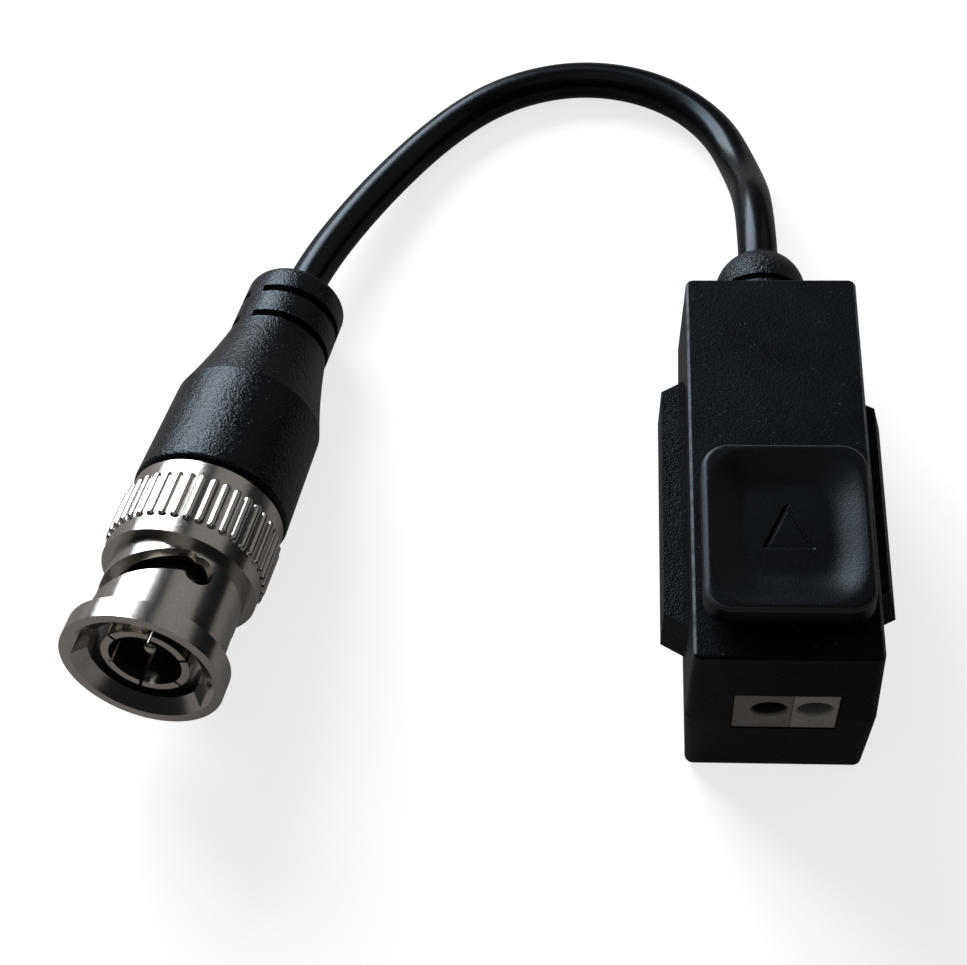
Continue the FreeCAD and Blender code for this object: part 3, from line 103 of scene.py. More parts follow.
world = bpy.data.worlds.new("studio")
bpy.context.scene.world = world
world.use_nodes = True
background = world.node_tree.nodes["Background"]
background.inputs["Color"].default_value = (0.50, 0.47, 0.45, 1.0)
room_ray = world.node_tree.nodes.new("ShaderNodeLightPath")
room_level = world.node_tree.nodes.new("ShaderNodeMapRange")
room_level.inputs["To Min"].default_value = 0.10
room_level.inputs["To Max"].default_value = 0.03
world.node_tree.links.new(room_ray.outputs["Is Glossy Ray"], room_level.inputs["Value"])
world.node_tree.links.new(room_level.outputs["Result"], background.inputs["Strength"])

# Camera rays see the table near white. Rays that light or mirror the part meet a darker, warmer one.
table_mesh = bpy.data.meshes.new("table")
reach = 3.0
table_mesh.from_pydata(
    [(-reach, -reach, 0), (reach, -reach, 0), (reach, reach, 0), (-reach, reach, 0)],
    [],
    [(0, 1, 2, 3)],
)
table = bpy.data.objects.new("table", table_mesh)
bpy.context.scene.collection.objects.link(table)
table_finish = bpy.data.materials.new("table_finish")
table_finish.use_nodes = True
tree, links = table_finish.node_tree.nodes, table_finish.node_tree.links
tree.clear()
finish_out = tree.new("ShaderNodeOutputMaterial")
path = tree.new("ShaderNodeLightPath")
seen = tree.new("ShaderNodeMath")
seen.operation = "MAXIMUM"
links.new(path.outputs["Is Camera Ray"], seen.inputs[0])
links.new(path.outputs["Is Transmission Ray"], seen.inputs[1])
shade = tree.new("ShaderNodeMix")
shade.data_type = "RGBA"
shade.inputs[6].default_value = (0.22, 0.195, 0.18, 1.0)
shade.inputs[7].default_value = (0.50, 0.50, 0.50, 1.0)
links.new(seen.outputs[0], shade.inputs[0])
matt = tree.new("ShaderNodeBsdfDiffuse")
links.new(shade.outputs[2], matt.inputs["Color"])
glow = tree.new("ShaderNodeEmission")
glow_strength = tree.new("ShaderNodeMath")
glow_strength.operation = "MULTIPLY_ADD"
glow_strength.inputs[1].default_value = 0.76
links.new(seen.outputs[0], glow_strength.inputs[0])
mirrored = tree.new("ShaderNodeMath")
mirrored.operation = "MULTIPLY"
mirrored.inputs[1].default_value = 0.08
links.new(path.outputs["Is Glossy Ray"], mirrored.inputs[0])
links.new(mirrored.outputs[0], glow_strength.inputs[2])
links.new(glow_strength.outputs[0], glow.inputs["Strength"])
together = tree.new("ShaderNodeAddShader")
links.new(matt.outputs["BSDF"], together.inputs[0])
links.new(glow.outputs["Emission"], together.inputs[1])
links.new(together.outputs["Shader"], finish_out.inputs["Surface"])
table_mesh.materials.append(table_finish)

# The cord: a thin coaxial cable with a smooth satin jacket of black plastic. It leaves the housing
# level, comes down to the table, lies there in one bend and rises into the boot of the plug.
cord_width = 0.0039
cord_route = [
    (0.00000, 0.02988, 0.00980),
    (0.00000, 0.03716, 0.00980),
    (-0.00055, 0.04676, 0.00428),
    (-0.00332, 0.05560, 0.00280),
    (-0.00975, 0.06170, 0.00226),
    (-0.01814, 0.06376, 0.00200),
    (-0.02637, 0.06145, 0.00195),
    (-0.03310, 0.05575, 0.00195),
    (-0.04010, 0.04520, 0.00291),
    (-0.04540, 0.03388, 0.00422),
    (-0.04625, 0.02937, 0.00484),
]
cord_curve = bpy.data.curves.new("lead", "CURVE")
cord_curve.dimensions = "3D"
cord_curve.bevel_depth = cord_width / 2
cord_curve.bevel_resolution = 8
cord_curve.use_fill_caps = True
spline = cord_curve.splines.new("NURBS")
spline.points.add(len(cord_route) - 1)
for point, place in zip(spline.points, cord_route):
    point.co = (*place, 1.0)
spline.order_u = 3
spline.use_endpoint_u = True
spline.resolution_u = 16
lead = bpy.data.objects.new("lead", cord_curve)
bpy.context.scene.collection.objects.link(lead)


def moulded_grain():
    """The grain that a mould leaves on plastic: fine pits over coarser ones, with slow tone changes.

    Glint is a sparse mask of single grains, painted lighter in the plastics: dust, and painted glints
    of grains that catch the light.
    """
    group = bpy.data.node_groups.new("moulded_grain", "ShaderNodeTree")
    for name, value in (("Fine", 5000.0), ("Coarse", 900.0), ("Coarse Share", 0.3), ("Glints", 0.1)):
        socket = group.interface.new_socket(name, in_out="INPUT", socket_type="NodeSocketFloat")
        socket.default_value = value
    for name in ("Height", "Tone", "Glint"):
        group.interface.new_socket(name, in_out="OUTPUT", socket_type="NodeSocketFloat")
    new, join = group.nodes.new, group.links.new
    into, result = new("NodeGroupInput"), new("NodeGroupOutput")
    place = new("ShaderNodeTexCoord")
    fine, coarse, slow = [new("ShaderNodeTexNoise") for _ in range(3)]
    fine.inputs["Detail"].default_value = 2.0
    coarse.inputs["Detail"].default_value = 1.0
    slow.inputs["Scale"].default_value = 220.0
    for noise in (fine, coarse, slow):
        join(place.outputs["Object"], noise.inputs["Vector"])
    join(into.outputs["Fine"], fine.inputs["Scale"])
    join(into.outputs["Coarse"], coarse.inputs["Scale"])
    height = new("ShaderNodeMix")
    height.data_type = "FLOAT"
    join(into.outputs["Coarse Share"], height.inputs[0])
    join(fine.outputs["Fac"], height.inputs[2])
    join(coarse.outputs["Fac"], height.inputs[3])
    join(height.outputs[0], result.inputs["Height"])
    mottled, tone = new("ShaderNodeMix"), new("ShaderNodeMapRange")
    mottled.data_type = "FLOAT"
    mottled.inputs[0].default_value = 0.55
    join(slow.outputs["Fac"], mottled.inputs[2])
    join(fine.outputs["Fac"], mottled.inputs[3])
    tone.inputs["From Min"].default_value = 0.34
    tone.inputs["From Max"].default_value = 0.66
    join(mottled.outputs[0], tone.inputs["Value"])
    join(tone.outputs["Result"], result.inputs["Tone"])
    cells = new("ShaderNodeTexVoronoi")
    join(place.outputs["Object"], cells.inputs["Vector"])
    join(into.outputs["Coarse"], cells.inputs["Scale"])
    near = new("ShaderNodeMapRange")
    near.interpolation_type = "SMOOTHSTEP"
    near.inputs["From Min"].default_value = 0.28
    near.inputs["From Max"].default_value = 0.12
    join(cells.outputs["Distance"], near.inputs["Value"])
    chosen = new("ShaderNodeSeparateColor")
    join(cells.outputs["Color"], chosen.inputs["Color"])
    few = new("ShaderNodeMath")
    few.operation = "LESS_THAN"
    join(chosen.outputs["Red"], few.inputs[0])
    join(into.outputs["Glints"], few.inputs[1])
    glint = new("ShaderNodeMath")
    glint.operation = "MULTIPLY"
    join(near.outputs["Result"], glint.inputs[0])
    join(few.outputs[0], glint.inputs[1])
    join(glint.outputs[0], result.inputs["Glint"])
    return group


grain = moulded_grain()
cold = (0.72, 0.86, 1.0)


def plastic(name, dark, light, rough, fine, coarse, share, depth, gloss, glints=0.0, tint=cold):
    """A moulded plastic: colour between two tones, grain in the roughness and the surface."""
    material = bpy.data.materials.new(name)
    material.use_nodes = True
    new, join = material.node_tree.nodes.new, material.node_tree.links.new
    shader = material.node_tree.nodes["Principled BSDF"]
    texture = new("ShaderNodeGroup")
    texture.node_tree = grain
    texture.inputs["Fine"].default_value = fine
    texture.inputs["Coarse"].default_value = coarse
    texture.inputs["Coarse Share"].default_value = share
    texture.inputs["Glints"].default_value = glints
    tones = new("ShaderNodeMix")
    tones.data_type = "RGBA"
    tones.inputs[6].default_value = (*dark, 1.0)
    tones.inputs[7].default_value = (*light, 1.0)
    join(texture.outputs["Tone"], tones.inputs[0])
    # Lighter specks where Glint says so: dust, and painted glints of grains catching the light.
    dust_and_glint_specks = new("ShaderNodeMix")
    dust_and_glint_specks.data_type = "RGBA"
    dust_and_glint_specks.inputs[7].default_value = (0.05, 0.055, 0.06, 1.0)
    join(texture.outputs["Glint"], dust_and_glint_specks.inputs[0])
    join(tones.outputs[2], dust_and_glint_specks.inputs[6])
    join(dust_and_glint_specks.outputs[2], shader.inputs["Base Color"])
    roughness = new("ShaderNodeMapRange")
    roughness.inputs["To Min"].default_value = rough - 0.06
    roughness.inputs["To Max"].default_value = rough + 0.06
    join(texture.outputs["Height"], roughness.inputs["Value"])
    join(roughness.outputs["Result"], shader.inputs["Roughness"])
    bump = new("ShaderNodeBump")
    bump.inputs["Strength"].default_value = 1.0
    bump.inputs["Distance"].default_value = depth
    join(texture.outputs["Height"], bump.inputs["Height"])
    join(bump.outputs["Normal"], shader.inputs["Normal"])
    shader.inputs["Specular IOR Level"].default_value = gloss
    shader.inputs["Specular Tint"].default_value = (*tint, 1.0)
    return material


jacket_dark, jacket_light = (0.002, 0.0025, 0.0032), (0.0042, 0.005, 0.0062)
jacket = plastic(
    "cord_jacket", jacket_dark, jacket_light, 0.26, 2600, 500, 0.5, 0.000012, 0.22
)
lead.data.materials.append(jacket)
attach(lead, "housing")
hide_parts("cord", "cord_core")

# The housing: an upper and a lower half of black plastic with a fine spark-eroded surface. The halves
# meet in a plain line all round, and the upper one carries a rail on each side. A painted highlight
# runs along its long upper edges, broken up by noise, and the rails' grain is coarser.
shell_dark, shell_light = (0.0002, 0.0004, 0.0007), (0.0066, 0.0083, 0.0102)
shell_grain, rail_grain = 0.00007, 0.00018
housing_black = plastic(
    "housing_black", shell_dark, shell_light, 0.42, 5600, 2400, 0.35, shell_grain, 0.11, 0.07
)


def edge_sheen_and_rail_masks():
    """Masks on the housing: a painted highlight along its two long upper edges, broken up by noise,
    and its rails.
    """
    group = bpy.data.node_groups.new("edge_sheen_and_rail_masks", "ShaderNodeTree")
    for name in ("Edge", "Rail"):
        group.interface.new_socket(name, in_out="OUTPUT", socket_type="NodeSocketFloat")
    new, join = group.nodes.new, group.links.new
    result = new("NodeGroupOutput")
    place, parts = new("ShaderNodeTexCoord"), new("ShaderNodeSeparateXYZ")
    join(place.outputs["Object"], parts.inputs["Vector"])
    side = new("ShaderNodeMath")
    side.operation = "ABSOLUTE"
    join(parts.outputs["X"], side.inputs[0])
    corner = new("ShaderNodeMath")
    join(side.outputs[0], corner.inputs[0])
    join(parts.outputs["Z"], corner.inputs[1])
    edge = new("ShaderNodeMapRange")
    edge.interpolation_type = "SMOOTHSTEP"
    edge.inputs["From Min"].default_value = 0.02740
    edge.inputs["From Max"].default_value = 0.02751
    join(corner.outputs[0], edge.inputs["Value"])
    upper = new("ShaderNodeMath")
    upper.operation = "LESS_THAN"
    upper.inputs[1].default_value = 0.0079
    join(side.outputs[0], upper.inputs[0])
    # Noise breaks up the painted edge highlight.
    sheen_breaks = new("ShaderNodeTexNoise")
    sheen_breaks.inputs["Scale"].default_value = 700.0
    join(place.outputs["Object"], sheen_breaks.inputs["Vector"])
    broken_sheen = new("ShaderNodeMapRange")
    broken_sheen.inputs["From Min"].default_value = 0.3
    broken_sheen.inputs["From Max"].default_value = 0.6
    broken_sheen.inputs["To Min"].default_value = 0.45
    join(sheen_breaks.outputs["Fac"], broken_sheen.inputs["Value"])
    both, all_three = new("ShaderNodeMath"), new("ShaderNodeMath")
    both.operation = all_three.operation = "MULTIPLY"
    join(edge.outputs["Result"], both.inputs[0])
    join(upper.outputs[0], both.inputs[1])
    join(both.outputs[0], all_three.inputs[0])
    join(broken_sheen.outputs["Result"], all_three.inputs[1])
    join(all_three.outputs[0], result.inputs["Edge"])
    rail = new("ShaderNodeMath")
    rail.operation = "GREATER_THAN"
    rail.inputs[1].default_value = 0.0083
    join(side.outputs[0], rail.inputs[0])
    join(rail.outputs[0], result.inputs["Rail"])
    return group


def paint_light_and_shade(material, mask, tone):
    """Mixes a painted tone into a material's colour where a mask says so: painted highlights and
    painted shade.
    """
    new, join = material.node_tree.nodes.new, material.node_tree.links.new
    colour = material.node_tree.nodes["Principled BSDF"].inputs["Base Color"]
    before = colour.links[0].from_socket
    mixed = new("ShaderNodeMix")
    mixed.data_type = "RGBA"
    mixed.inputs[7].default_value = (*tone, 1.0)
    join(mask, mixed.inputs[0])
    join(before, mixed.inputs[6])
    join(mixed.outputs[2], colour)


# Painted highlight along the housing's long upper edges, and deeper grain on its rails.
sheen_and_rail = housing_black.node_tree.nodes.new("ShaderNodeGroup")
sheen_and_rail.node_tree = edge_sheen_and_rail_masks()
paint_light_and_shade(housing_black, sheen_and_rail.outputs["Edge"], (0.16, 0.175, 0.19))
grain_depth = housing_black.node_tree.nodes.new("ShaderNodeMapRange")
grain_depth.inputs["To Min"].default_value = shell_grain
grain_depth.inputs["To Max"].default_value = rail_grain
shell_bump = housing_black.node_tree.nodes["Bump"]
housing_black.node_tree.links.new(sheen_and_rail.outputs["Rail"], grain_depth.inputs["Value"])
housing_black.node_tree.links.new(grain_depth.outputs["Result"], shell_bump.inputs["Distance"])


def dress(node, material):
    """Gives a CAD node its finish."""
    mesh = nodes[node].data
    mesh.materials.clear()
    mesh.materials.append(material)


for half in ("upper_shell", "lower_shell"):
    dress(half, housing_black)

# The push button: a cap of the same black plastic over a hollow stem. The cap is built of rings: a
# drafted wall, a rounded rim with a painted highlight, and a smooth hollow for the fingertip, in which
# an open triangle points to the cable's end. The stem with its lugs and fingers is the CAD's.
def merged_copy(node):
    """A CAD node's mesh with its loose triangles joined into one closed surface that faces outward."""
    work = bmesh.new()
    work.from_mesh(nodes[node].data)
    bmesh.ops.remove_doubles(work, verts=work.verts, dist=0.000001)
    bmesh.ops.dissolve_degenerate(work, edges=work.edges, dist=0.0000001)
    bmesh.ops.recalc_face_normals(work, faces=work.faces)
    return work


def smooth_mesh(work, name, sharpest):
    """A mesh in one piece, smooth but for the edges where faces meet at more than an angle."""
    for face in work.faces:
        face.smooth = True
    for edge in work.edges:
        edge.smooth = len(edge.link_faces) == 2 and edge.calc_face_angle() < sharpest
    mesh = bpy.data.meshes.new(name)
    work.to_mesh(mesh)
    work.free()
    return mesh


def add_piece(name, mesh, material, body, node):
    """Puts a finished mesh in the scene, in the place of a CAD node."""
    mesh.materials.clear()
    mesh.materials.append(material)
    piece = bpy.data.objects.new(name, mesh)
    bpy.context.scene.collection.objects.link(piece)
    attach(piece, body)
    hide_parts(node)
    return piece


long_side_steps, short_side_steps, corner_steps = 88, 70, 28


def rounded_outline(half_x, half_y, radius):
    """Points round a rectangle with rounded corners, the same number for every size."""
    across, along = half_x - radius, half_y - radius
    corners = (
        (across, along, 0.0, long_side_steps),
        (-across, along, 0.5, short_side_steps),
        (-across, -along, 1.0, long_side_steps),
        (across, -along, 1.5, short_side_steps),
    )
    points = []
    last = (half_x, -along)
    for x, y, start, steps in corners:
        first = (x + radius * math.cos(start * math.pi), y + radius * math.sin(start * math.pi))
        points += [
            (last[0] + (first[0] - last[0]) * k / steps, last[1] + (first[1] - last[1]) * k / steps)
            for k in range(steps)
        ]
        for k in range(corner_steps):
            angle = (start + 0.5 * k / corner_steps) * math.pi
            points.append((x + radius * math.cos(angle), y + radius * math.sin(angle)))
        angle = (start + 0.5) * math.pi
        last = (x + radius * math.cos(angle), y + radius * math.sin(angle))
    return points


def smooth_step(value):
    """Rises from 0 to 1, level at both ends."""
    value = min(max(value, 0.0), 1.0)
    return value * value * (3 - 2 * value)


# The triangle's three strokes on the cap, in millimetres: both ends, half width and depth.
triangle = (
    ((-1.80, -10.90), (0.05, -7.00), 0.25, 0.17),
    ((0.05, -7.00), (2.00, -11.00), 0.20, 0.16),
    ((2.00, -11.00), (-1.80, -10.90), 0.22, 0.03),
)


def engraved(x, y):
    """Depth of the triangle's rounded groove at a place on the cap, in millimetres."""
    deepest = 0.0
    for (x0, y0), (x1, y1), half_width, depth in triangle:
        length = math.hypot(x1 - x0, y1 - y0)
        share = ((x - x0) * (x1 - x0) + (y - y0) * (y1 - y0)) / length**2
        share = min(max(share, 0.0), 1.0)
        off = math.hypot(x - x0 - share * (x1 - x0), y - y0 - share * (y1 - y0)) / half_width
        deepest = max(deepest, depth * max(0.0, 1 - off * off) ** 1.5)
    return deepest


cap_half_x, cap_half_y, cap_middle, cap_top = 6.95, 8.10, -9.30, 23.90
cap_corner, cap_floor, cap_ceiling, cap_draft = 2.3, 21.4, 22.2, 0.07
rim_round, hollow_depth = 0.50, 0.86
brim_width, slope_width, slope_bias = 0.35, 3.1, 0.85


def hollow(x, y):
    """Depth of the finger's hollow at a place on the cap, in millimetres."""
    across = abs(x) / (cap_half_x - cap_draft)
    along = abs(y - cap_middle) / (cap_half_y - cap_draft)
    inside = (1 - (across**4 + along**4) ** 0.25) * cap_half_x
    share = min(max((inside - brim_width) / slope_width, 0.0), 1.0)
    return hollow_depth * smooth_step(share**slope_bias)


cap_rings = []
for step_in, level in ((1.0, cap_ceiling), (1.0, cap_floor), (0.08, cap_floor), (0.0, 21.48)):
    outline = rounded_outline(cap_half_x - step_in, cap_half_y - step_in, cap_corner - step_in)
    cap_rings.append([(x, y + cap_middle, level) for x, y in outline])
for k in range(11):
    angle = k / 10 * math.pi / 2
    step_in = cap_draft + rim_round * (1 - math.cos(angle))
    outline = rounded_outline(cap_half_x - step_in, cap_half_y - step_in, cap_corner - step_in)
    level = cap_top - rim_round * (1 - math.sin(angle))
    cap_rings.append([(x, y + cap_middle, level) for x, y in outline])
rim_sheen_rings = range(5, 11)
first_top_ring = 14
brim = cap_rings[-1]
coarse_shares = [1 - 0.015 * k for k in range(1, 44)]
fine_shares = [0.355 - 0.0059 * k for k in range(1, 60)]
for share in coarse_shares + fine_shares:
    ring = []
    for x, y, level in brim:
        x, y = x * share, cap_middle + (y - cap_middle) * share
        ring.append((x, y, cap_top - hollow(x, y) - engraved(x, y)))
    cap_rings.append(ring)

# The CAD's stem is cut just under the cap, lengthened into it and closed.
stem_cut, stem_rise = 0.02138, 0.0009
cap_work = merged_copy("press_button")
bmesh.ops.bisect_plane(
    cap_work,
    geom=cap_work.verts[:] + cap_work.edges[:] + cap_work.faces[:],
    plane_co=(0, 0, stem_cut),
    plane_no=(0, 0, 1),
    clear_outer=True,
    dist=0.0000005,
)
rims = [edge for edge in cap_work.edges if edge.is_boundary]
raised = bmesh.ops.extrude_edge_only(cap_work, edges=rims)["geom"]
raised_verts = [part for part in raised if isinstance(part, bmesh.types.BMVert)]
bmesh.ops.translate(cap_work, verts=raised_verts, vec=(0, 0, stem_rise))
rims = [edge for edge in cap_work.edges if edge.is_boundary]
bmesh.ops.triangle_fill(cap_work, edges=rims, use_beauty=True)
rim_sheen_layer = cap_work.verts.layers.float.new("rim")
groove_layer = cap_work.verts.layers.float.new("groove")
ring_verts = []
for ring in cap_rings:
    ring_verts.append([cap_work.verts.new((x / 1000, y / 1000, z / 1000)) for x, y, z in ring])
# The steep rings of the rim's rounding carry the mark for a painted highlight.
for number in rim_sheen_rings:
    for vert in ring_verts[number]:
        vert[rim_sheen_layer] = 1.0
# The triangle's left stroke, up to its point, stays dull.
groove_right, groove_least = 0.00012, 0.004
for ring in ring_verts[first_top_ring:]:
    for vert in ring:
        if vert.co.x < groove_right and engraved(vert.co.x * 1000, vert.co.y * 1000) > groove_least:
            vert[groove_layer] = 1.0
for lower, upper in zip(ring_verts, ring_verts[1:]):
    for k in range(len(lower)):
        after = (k + 1) % len(lower)
        cap_work.faces.new((lower[k], lower[after], upper[after], upper[k]))
for ring, level in ((ring_verts[0], cap_ceiling), (ring_verts[-1], cap_top - hollow_depth)):
    centre = cap_work.verts.new((0, cap_middle / 1000, level / 1000))
    for k in range(len(ring)):
        cap_work.faces.new((ring[k], ring[(k + 1) % len(ring)], centre))
bmesh.ops.recalc_face_normals(cap_work, faces=cap_work.faces)
cap_edge = 0.55
cap_mesh = smooth_mesh(cap_work, "push_button", cap_edge)
cap_dark, cap_light = (0.0010, 0.0014, 0.0018), (0.0042, 0.0053, 0.0066)
cap_black = plastic("cap_black", cap_dark, cap_light, 0.36, 6500, 2600, 0.3, 0.00002, 0.2)
cap_nodes, cap_links = cap_black.node_tree.nodes, cap_black.node_tree.links
# Painted highlight: the rim's rounding is mixed towards a lighter tone.
rim_sheen_mark = cap_nodes.new("ShaderNodeAttribute")
rim_sheen_mark.attribute_name = "rim"
rim_sheen = cap_nodes.new("ShaderNodeMath")
rim_sheen.operation = "MULTIPLY"
rim_sheen.inputs[1].default_value = 0.6
cap_links.new(rim_sheen_mark.outputs["Fac"], rim_sheen.inputs[0])
paint_light_and_shade(cap_black, rim_sheen.outputs[0], (0.11, 0.125, 0.145))
groove_mark = cap_nodes.new("ShaderNodeAttribute")
groove_mark.attribute_name = "groove"
dull_groove = cap_nodes.new("ShaderNodeMix")
dull_groove.data_type = "FLOAT"
dull_groove.inputs[3].default_value = 1.0
cap_shine = cap_nodes["Principled BSDF"].inputs["Roughness"]
cap_links.new(groove_mark.outputs["Fac"], dull_groove.inputs[0])
cap_links.new(cap_shine.links[0].from_socket, dull_groove.inputs[2])
cap_links.new(dull_groove.outputs[0], cap_shine)
add_piece("push_button", cap_mesh, cap_black, "button", "press_button")

# The terminals: two poles of grey plastic in the front window, each with a wide oval mouth for the
# wire, a tinned contact frame and a steel clamp spring. The mouths are widened in copies of the CAD's
# poles, and shade is painted into the plastic round the contacts inside them.
warm = (1.0, 0.97, 0.94)
left_dark, left_light = (0.46, 0.43, 0.40), (0.60, 0.56, 0.53)
right_dark, right_light = (0.78, 0.76, 0.73), (0.92, 0.90, 0.87)
left_grey = plastic(
    "left_pole_grey", left_dark, left_light, 0.6, 4000, 900, 0.4, 0.00006, 0.3, tint=warm
)
right_grey = plastic(
    "right_pole_grey", right_dark, right_light, 0.6, 4000, 900, 0.4, 0.00006, 0.3, tint=warm
)
wire_height = 0.01145
mouth_bottom, mouth_depth, mouth_radius = -0.0181, 0.0017, 0.00152
wider, lower, pole_edge = 0.06, 0.10, 0.45
shadow_front, shadow_radius = -0.0197, 0.00165
for node, bore, grey, slot, shadow in (
    ("left_terminal", -0.001055, left_grey, "left_pole_plastic", (0.02, 0.017, 0.015)),
    ("right_terminal", 0.002755, right_grey, "right_pole_plastic", (0.30, 0.28, 0.26)),
):
    # Painted shade: the plastic round each contact inside the mouth is mixed towards a darker tone.
    mouth_shade_mark = grey.node_tree.nodes.new("ShaderNodeAttribute")
    mouth_shade_mark.attribute_name = "mouth"
    paint_light_and_shade(grey, mouth_shade_mark.outputs["Fac"], shadow)
    pole_work = merged_copy(node)
    mouth_shade_layer = pole_work.verts.layers.float.new("mouth")
    for vert in pole_work.verts:
        off_x, off_z = vert.co.x - bore, vert.co.z - wire_height
        if vert.co.y < mouth_bottom and math.hypot(off_x, off_z) < mouth_radius:
            share = smooth_step((mouth_bottom - vert.co.y) / mouth_depth)
            vert.co.x = bore + off_x * (1 + wider * share)
            vert.co.z = wire_height + off_z * (1 - lower * share)
        off_x, off_z = vert.co.x - bore, vert.co.z - wire_height
        # These vertices, round the contact inside the mouth, carry the painted shade.
        if vert.co.y > shadow_front and math.hypot(off_x, off_z) < shadow_radius:
            vert[mouth_shade_layer] = 1.0
    pole_mesh = smooth_mesh(pole_work, node + "_pole", pole_edge)
    add_piece(node + "_pole", pole_mesh, grey, "housing", node)


def metal(name, dark, light, rough, depth):
    """A plated or rolled metal: slight tone changes, fine scratches in its roughness."""
    material = bpy.data.materials.new(name)
    material.use_nodes = True
    new, join = material.node_tree.nodes.new, material.node_tree.links.new
    shader = material.node_tree.nodes["Principled BSDF"]
    shader.inputs["Metallic"].default_value = 1.0
    texture = new("ShaderNodeGroup")
    texture.node_tree = grain
    texture.inputs["Fine"].default_value = 3000.0
    texture.inputs["Coarse"].default_value = 400.0
    texture.inputs["Coarse Share"].default_value = 0.5
    tones = new("ShaderNodeMix")
    tones.data_type = "RGBA"
    tones.inputs[6].default_value = (*dark, 1.0)
    tones.inputs[7].default_value = (*light, 1.0)
    join(texture.outputs["Tone"], tones.inputs[0])
    join(tones.outputs[2], shader.inputs["Base Color"])
    roughness = new("ShaderNodeMapRange")
    roughness.inputs["To Min"].default_value = rough * 0.7
    roughness.inputs["To Max"].default_value = rough * 1.3
    join(texture.outputs["Height"], roughness.inputs["Value"])
    join(roughness.outputs["Result"], shader.inputs["Roughness"])
    bump = new("ShaderNodeBump")
    bump.inputs["Strength"].default_value = 1.0
    bump.inputs["Distance"].default_value = depth
    join(texture.outputs["Height"], bump.inputs["Height"])
    join(bump.outputs["Normal"], shader.inputs["Normal"])
    return material


tinned = metal("tinned_copper", (0.55, 0.54, 0.52), (0.62, 0.61, 0.59), 0.3, 0.000003)
spring_steel = metal("spring_steel", (0.42, 0.42, 0.43), (0.5, 0.5, 0.51), 0.28, 0.000003)
for node in ("left_contact", "right_contact", "centre_wire", "braid_wire"):
    dress(node, tinned)
for node in ("left_clamp_spring", "right_clamp_spring"):
    dress(node, spring_steel)
for node in ("wave_washer", "thrust_washer", "retaining_ring"):
    dress(node, spring_steel)

# The board: green laminate with a ferrite core, its winding, a surge arrester, a disc capacitor and
# three chip resistors. None of it shows with the housing shut.
board_green = plastic(
    "board_green", (0.02, 0.12, 0.05), (0.03, 0.16, 0.07), 0.4, 2000, 500, 0.5, 0.00001, 0.5, tint=warm
)
ferrite = plastic(
    "ferrite", (0.03, 0.028, 0.028), (0.05, 0.047, 0.046), 0.7, 3000, 800, 0.4, 0.00005, 0.3, tint=warm
)
winding = metal("winding_wire", (0.42, 0.13, 0.04), (0.5, 0.17, 0.06), 0.3, 0.00001)
glazed = plastic(
    "ceramic", (0.38, 0.27, 0.16), (0.45, 0.33, 0.2), 0.3, 1500, 400, 0.5, 0.00001, 0.5, tint=warm
)
dress("circuit_board", board_green)
dress("balun_core", ferrite)
dress("balun_winding", winding)
for node in ("surge_arrester", "disc_capacitor", "chip_resistors"):
    dress(node, glazed)

# The strain relief: a moulded sleeve of soft black plastic round the cable, with a grooved collar
# and a domed head of coarse grain.
relief_dark, relief_light = (0.002, 0.0026, 0.0034), (0.006, 0.0075, 0.0094)
relief_black = plastic(
    "relief_black", relief_dark, relief_light, 0.34, 4600, 2200, 0.35, 0.00022, 0.32, 0.2
)
turned_edge = 0.52
relief_mesh = smooth_mesh(merged_copy("strain_relief"), "strain_relief_smooth", turned_edge)
add_piece(
    "strain_relief_smooth", relief_mesh, relief_black, "housing", "strain_relief"
)
for node in ("cable_end", "plug_cable_end"):
    dress(node, jacket)

# The plug: a turned brass body and ferrule in bright nickel, a slit contact sleeve and a centre pin,
# held apart by a dark insulator, with a red gasket behind them. All are the CAD's solids.
nickel = metal("nickel", (0.52, 0.49, 0.46), (0.60, 0.57, 0.54), 0.21, 0.000003)
contact_metal = metal("contact_plate", (0.50, 0.47, 0.43), (0.58, 0.545, 0.50), 0.22, 0.000002)
for node in ("plug_body", "crimp_ferrule"):
    dress(node, nickel)
for node in ("outer_contact", "centre_pin"):
    dress(node, contact_metal)
insulator_dark, insulator_light = (0.02, 0.018, 0.016), (0.03, 0.027, 0.024)
dark_insulator = plastic(
    "insulator", insulator_dark, insulator_light, 0.5, 3000, 800, 0.4, 0.00002, 0.4, tint=warm
)
dress("insulator", dark_insulator)
gasket_red = plastic(
    "gasket", (0.03, 0.006, 0.005), (0.045, 0.01, 0.008), 0.5, 3000, 800, 0.4, 0.00002, 0.4, tint=warm
)
dress("gasket", gasket_red)

# The coupling nut: turned from brass and bright nickel plated, with two spiral slots for a jack's
# pins. The half of the CAD's nut that holds the well-cut slot is taken twice. Geometry Nodes set
# proud, round-ended ribs on its grip band, and turned faces get exact normals, so they mirror clean.
plug_tip = Vector((-0.05487, -0.0167, 0.0112008))
plug_back = Vector((0.182282, 0.9740152, -0.1344157)).normalized()
plug_side = plug_back.cross(Vector((0, 0, 1))).normalized()
plug_frame = Matrix.Translation(plug_tip) @ Matrix(
    (
        (plug_side.x, plug_back.cross(plug_side).x, plug_back.x),
        (plug_side.y, plug_back.cross(plug_side).y, plug_back.y),
        (plug_side.z, plug_back.cross(plug_side).z, plug_back.z),
    )
).to_4x4()


def close_slits(work):
    """Closes the hair-thin slits that a cut or a new skin leaves between edges on one line."""
    open_edges = [edge for edge in work.edges if edge.is_boundary]
    bmesh.ops.holes_fill(work, edges=open_edges, sides=12)
    bmesh.ops.triangulate(work, faces=[face for face in work.faces if len(face.verts) > 3])
    bmesh.ops.recalc_face_normals(work, faces=work.faces)


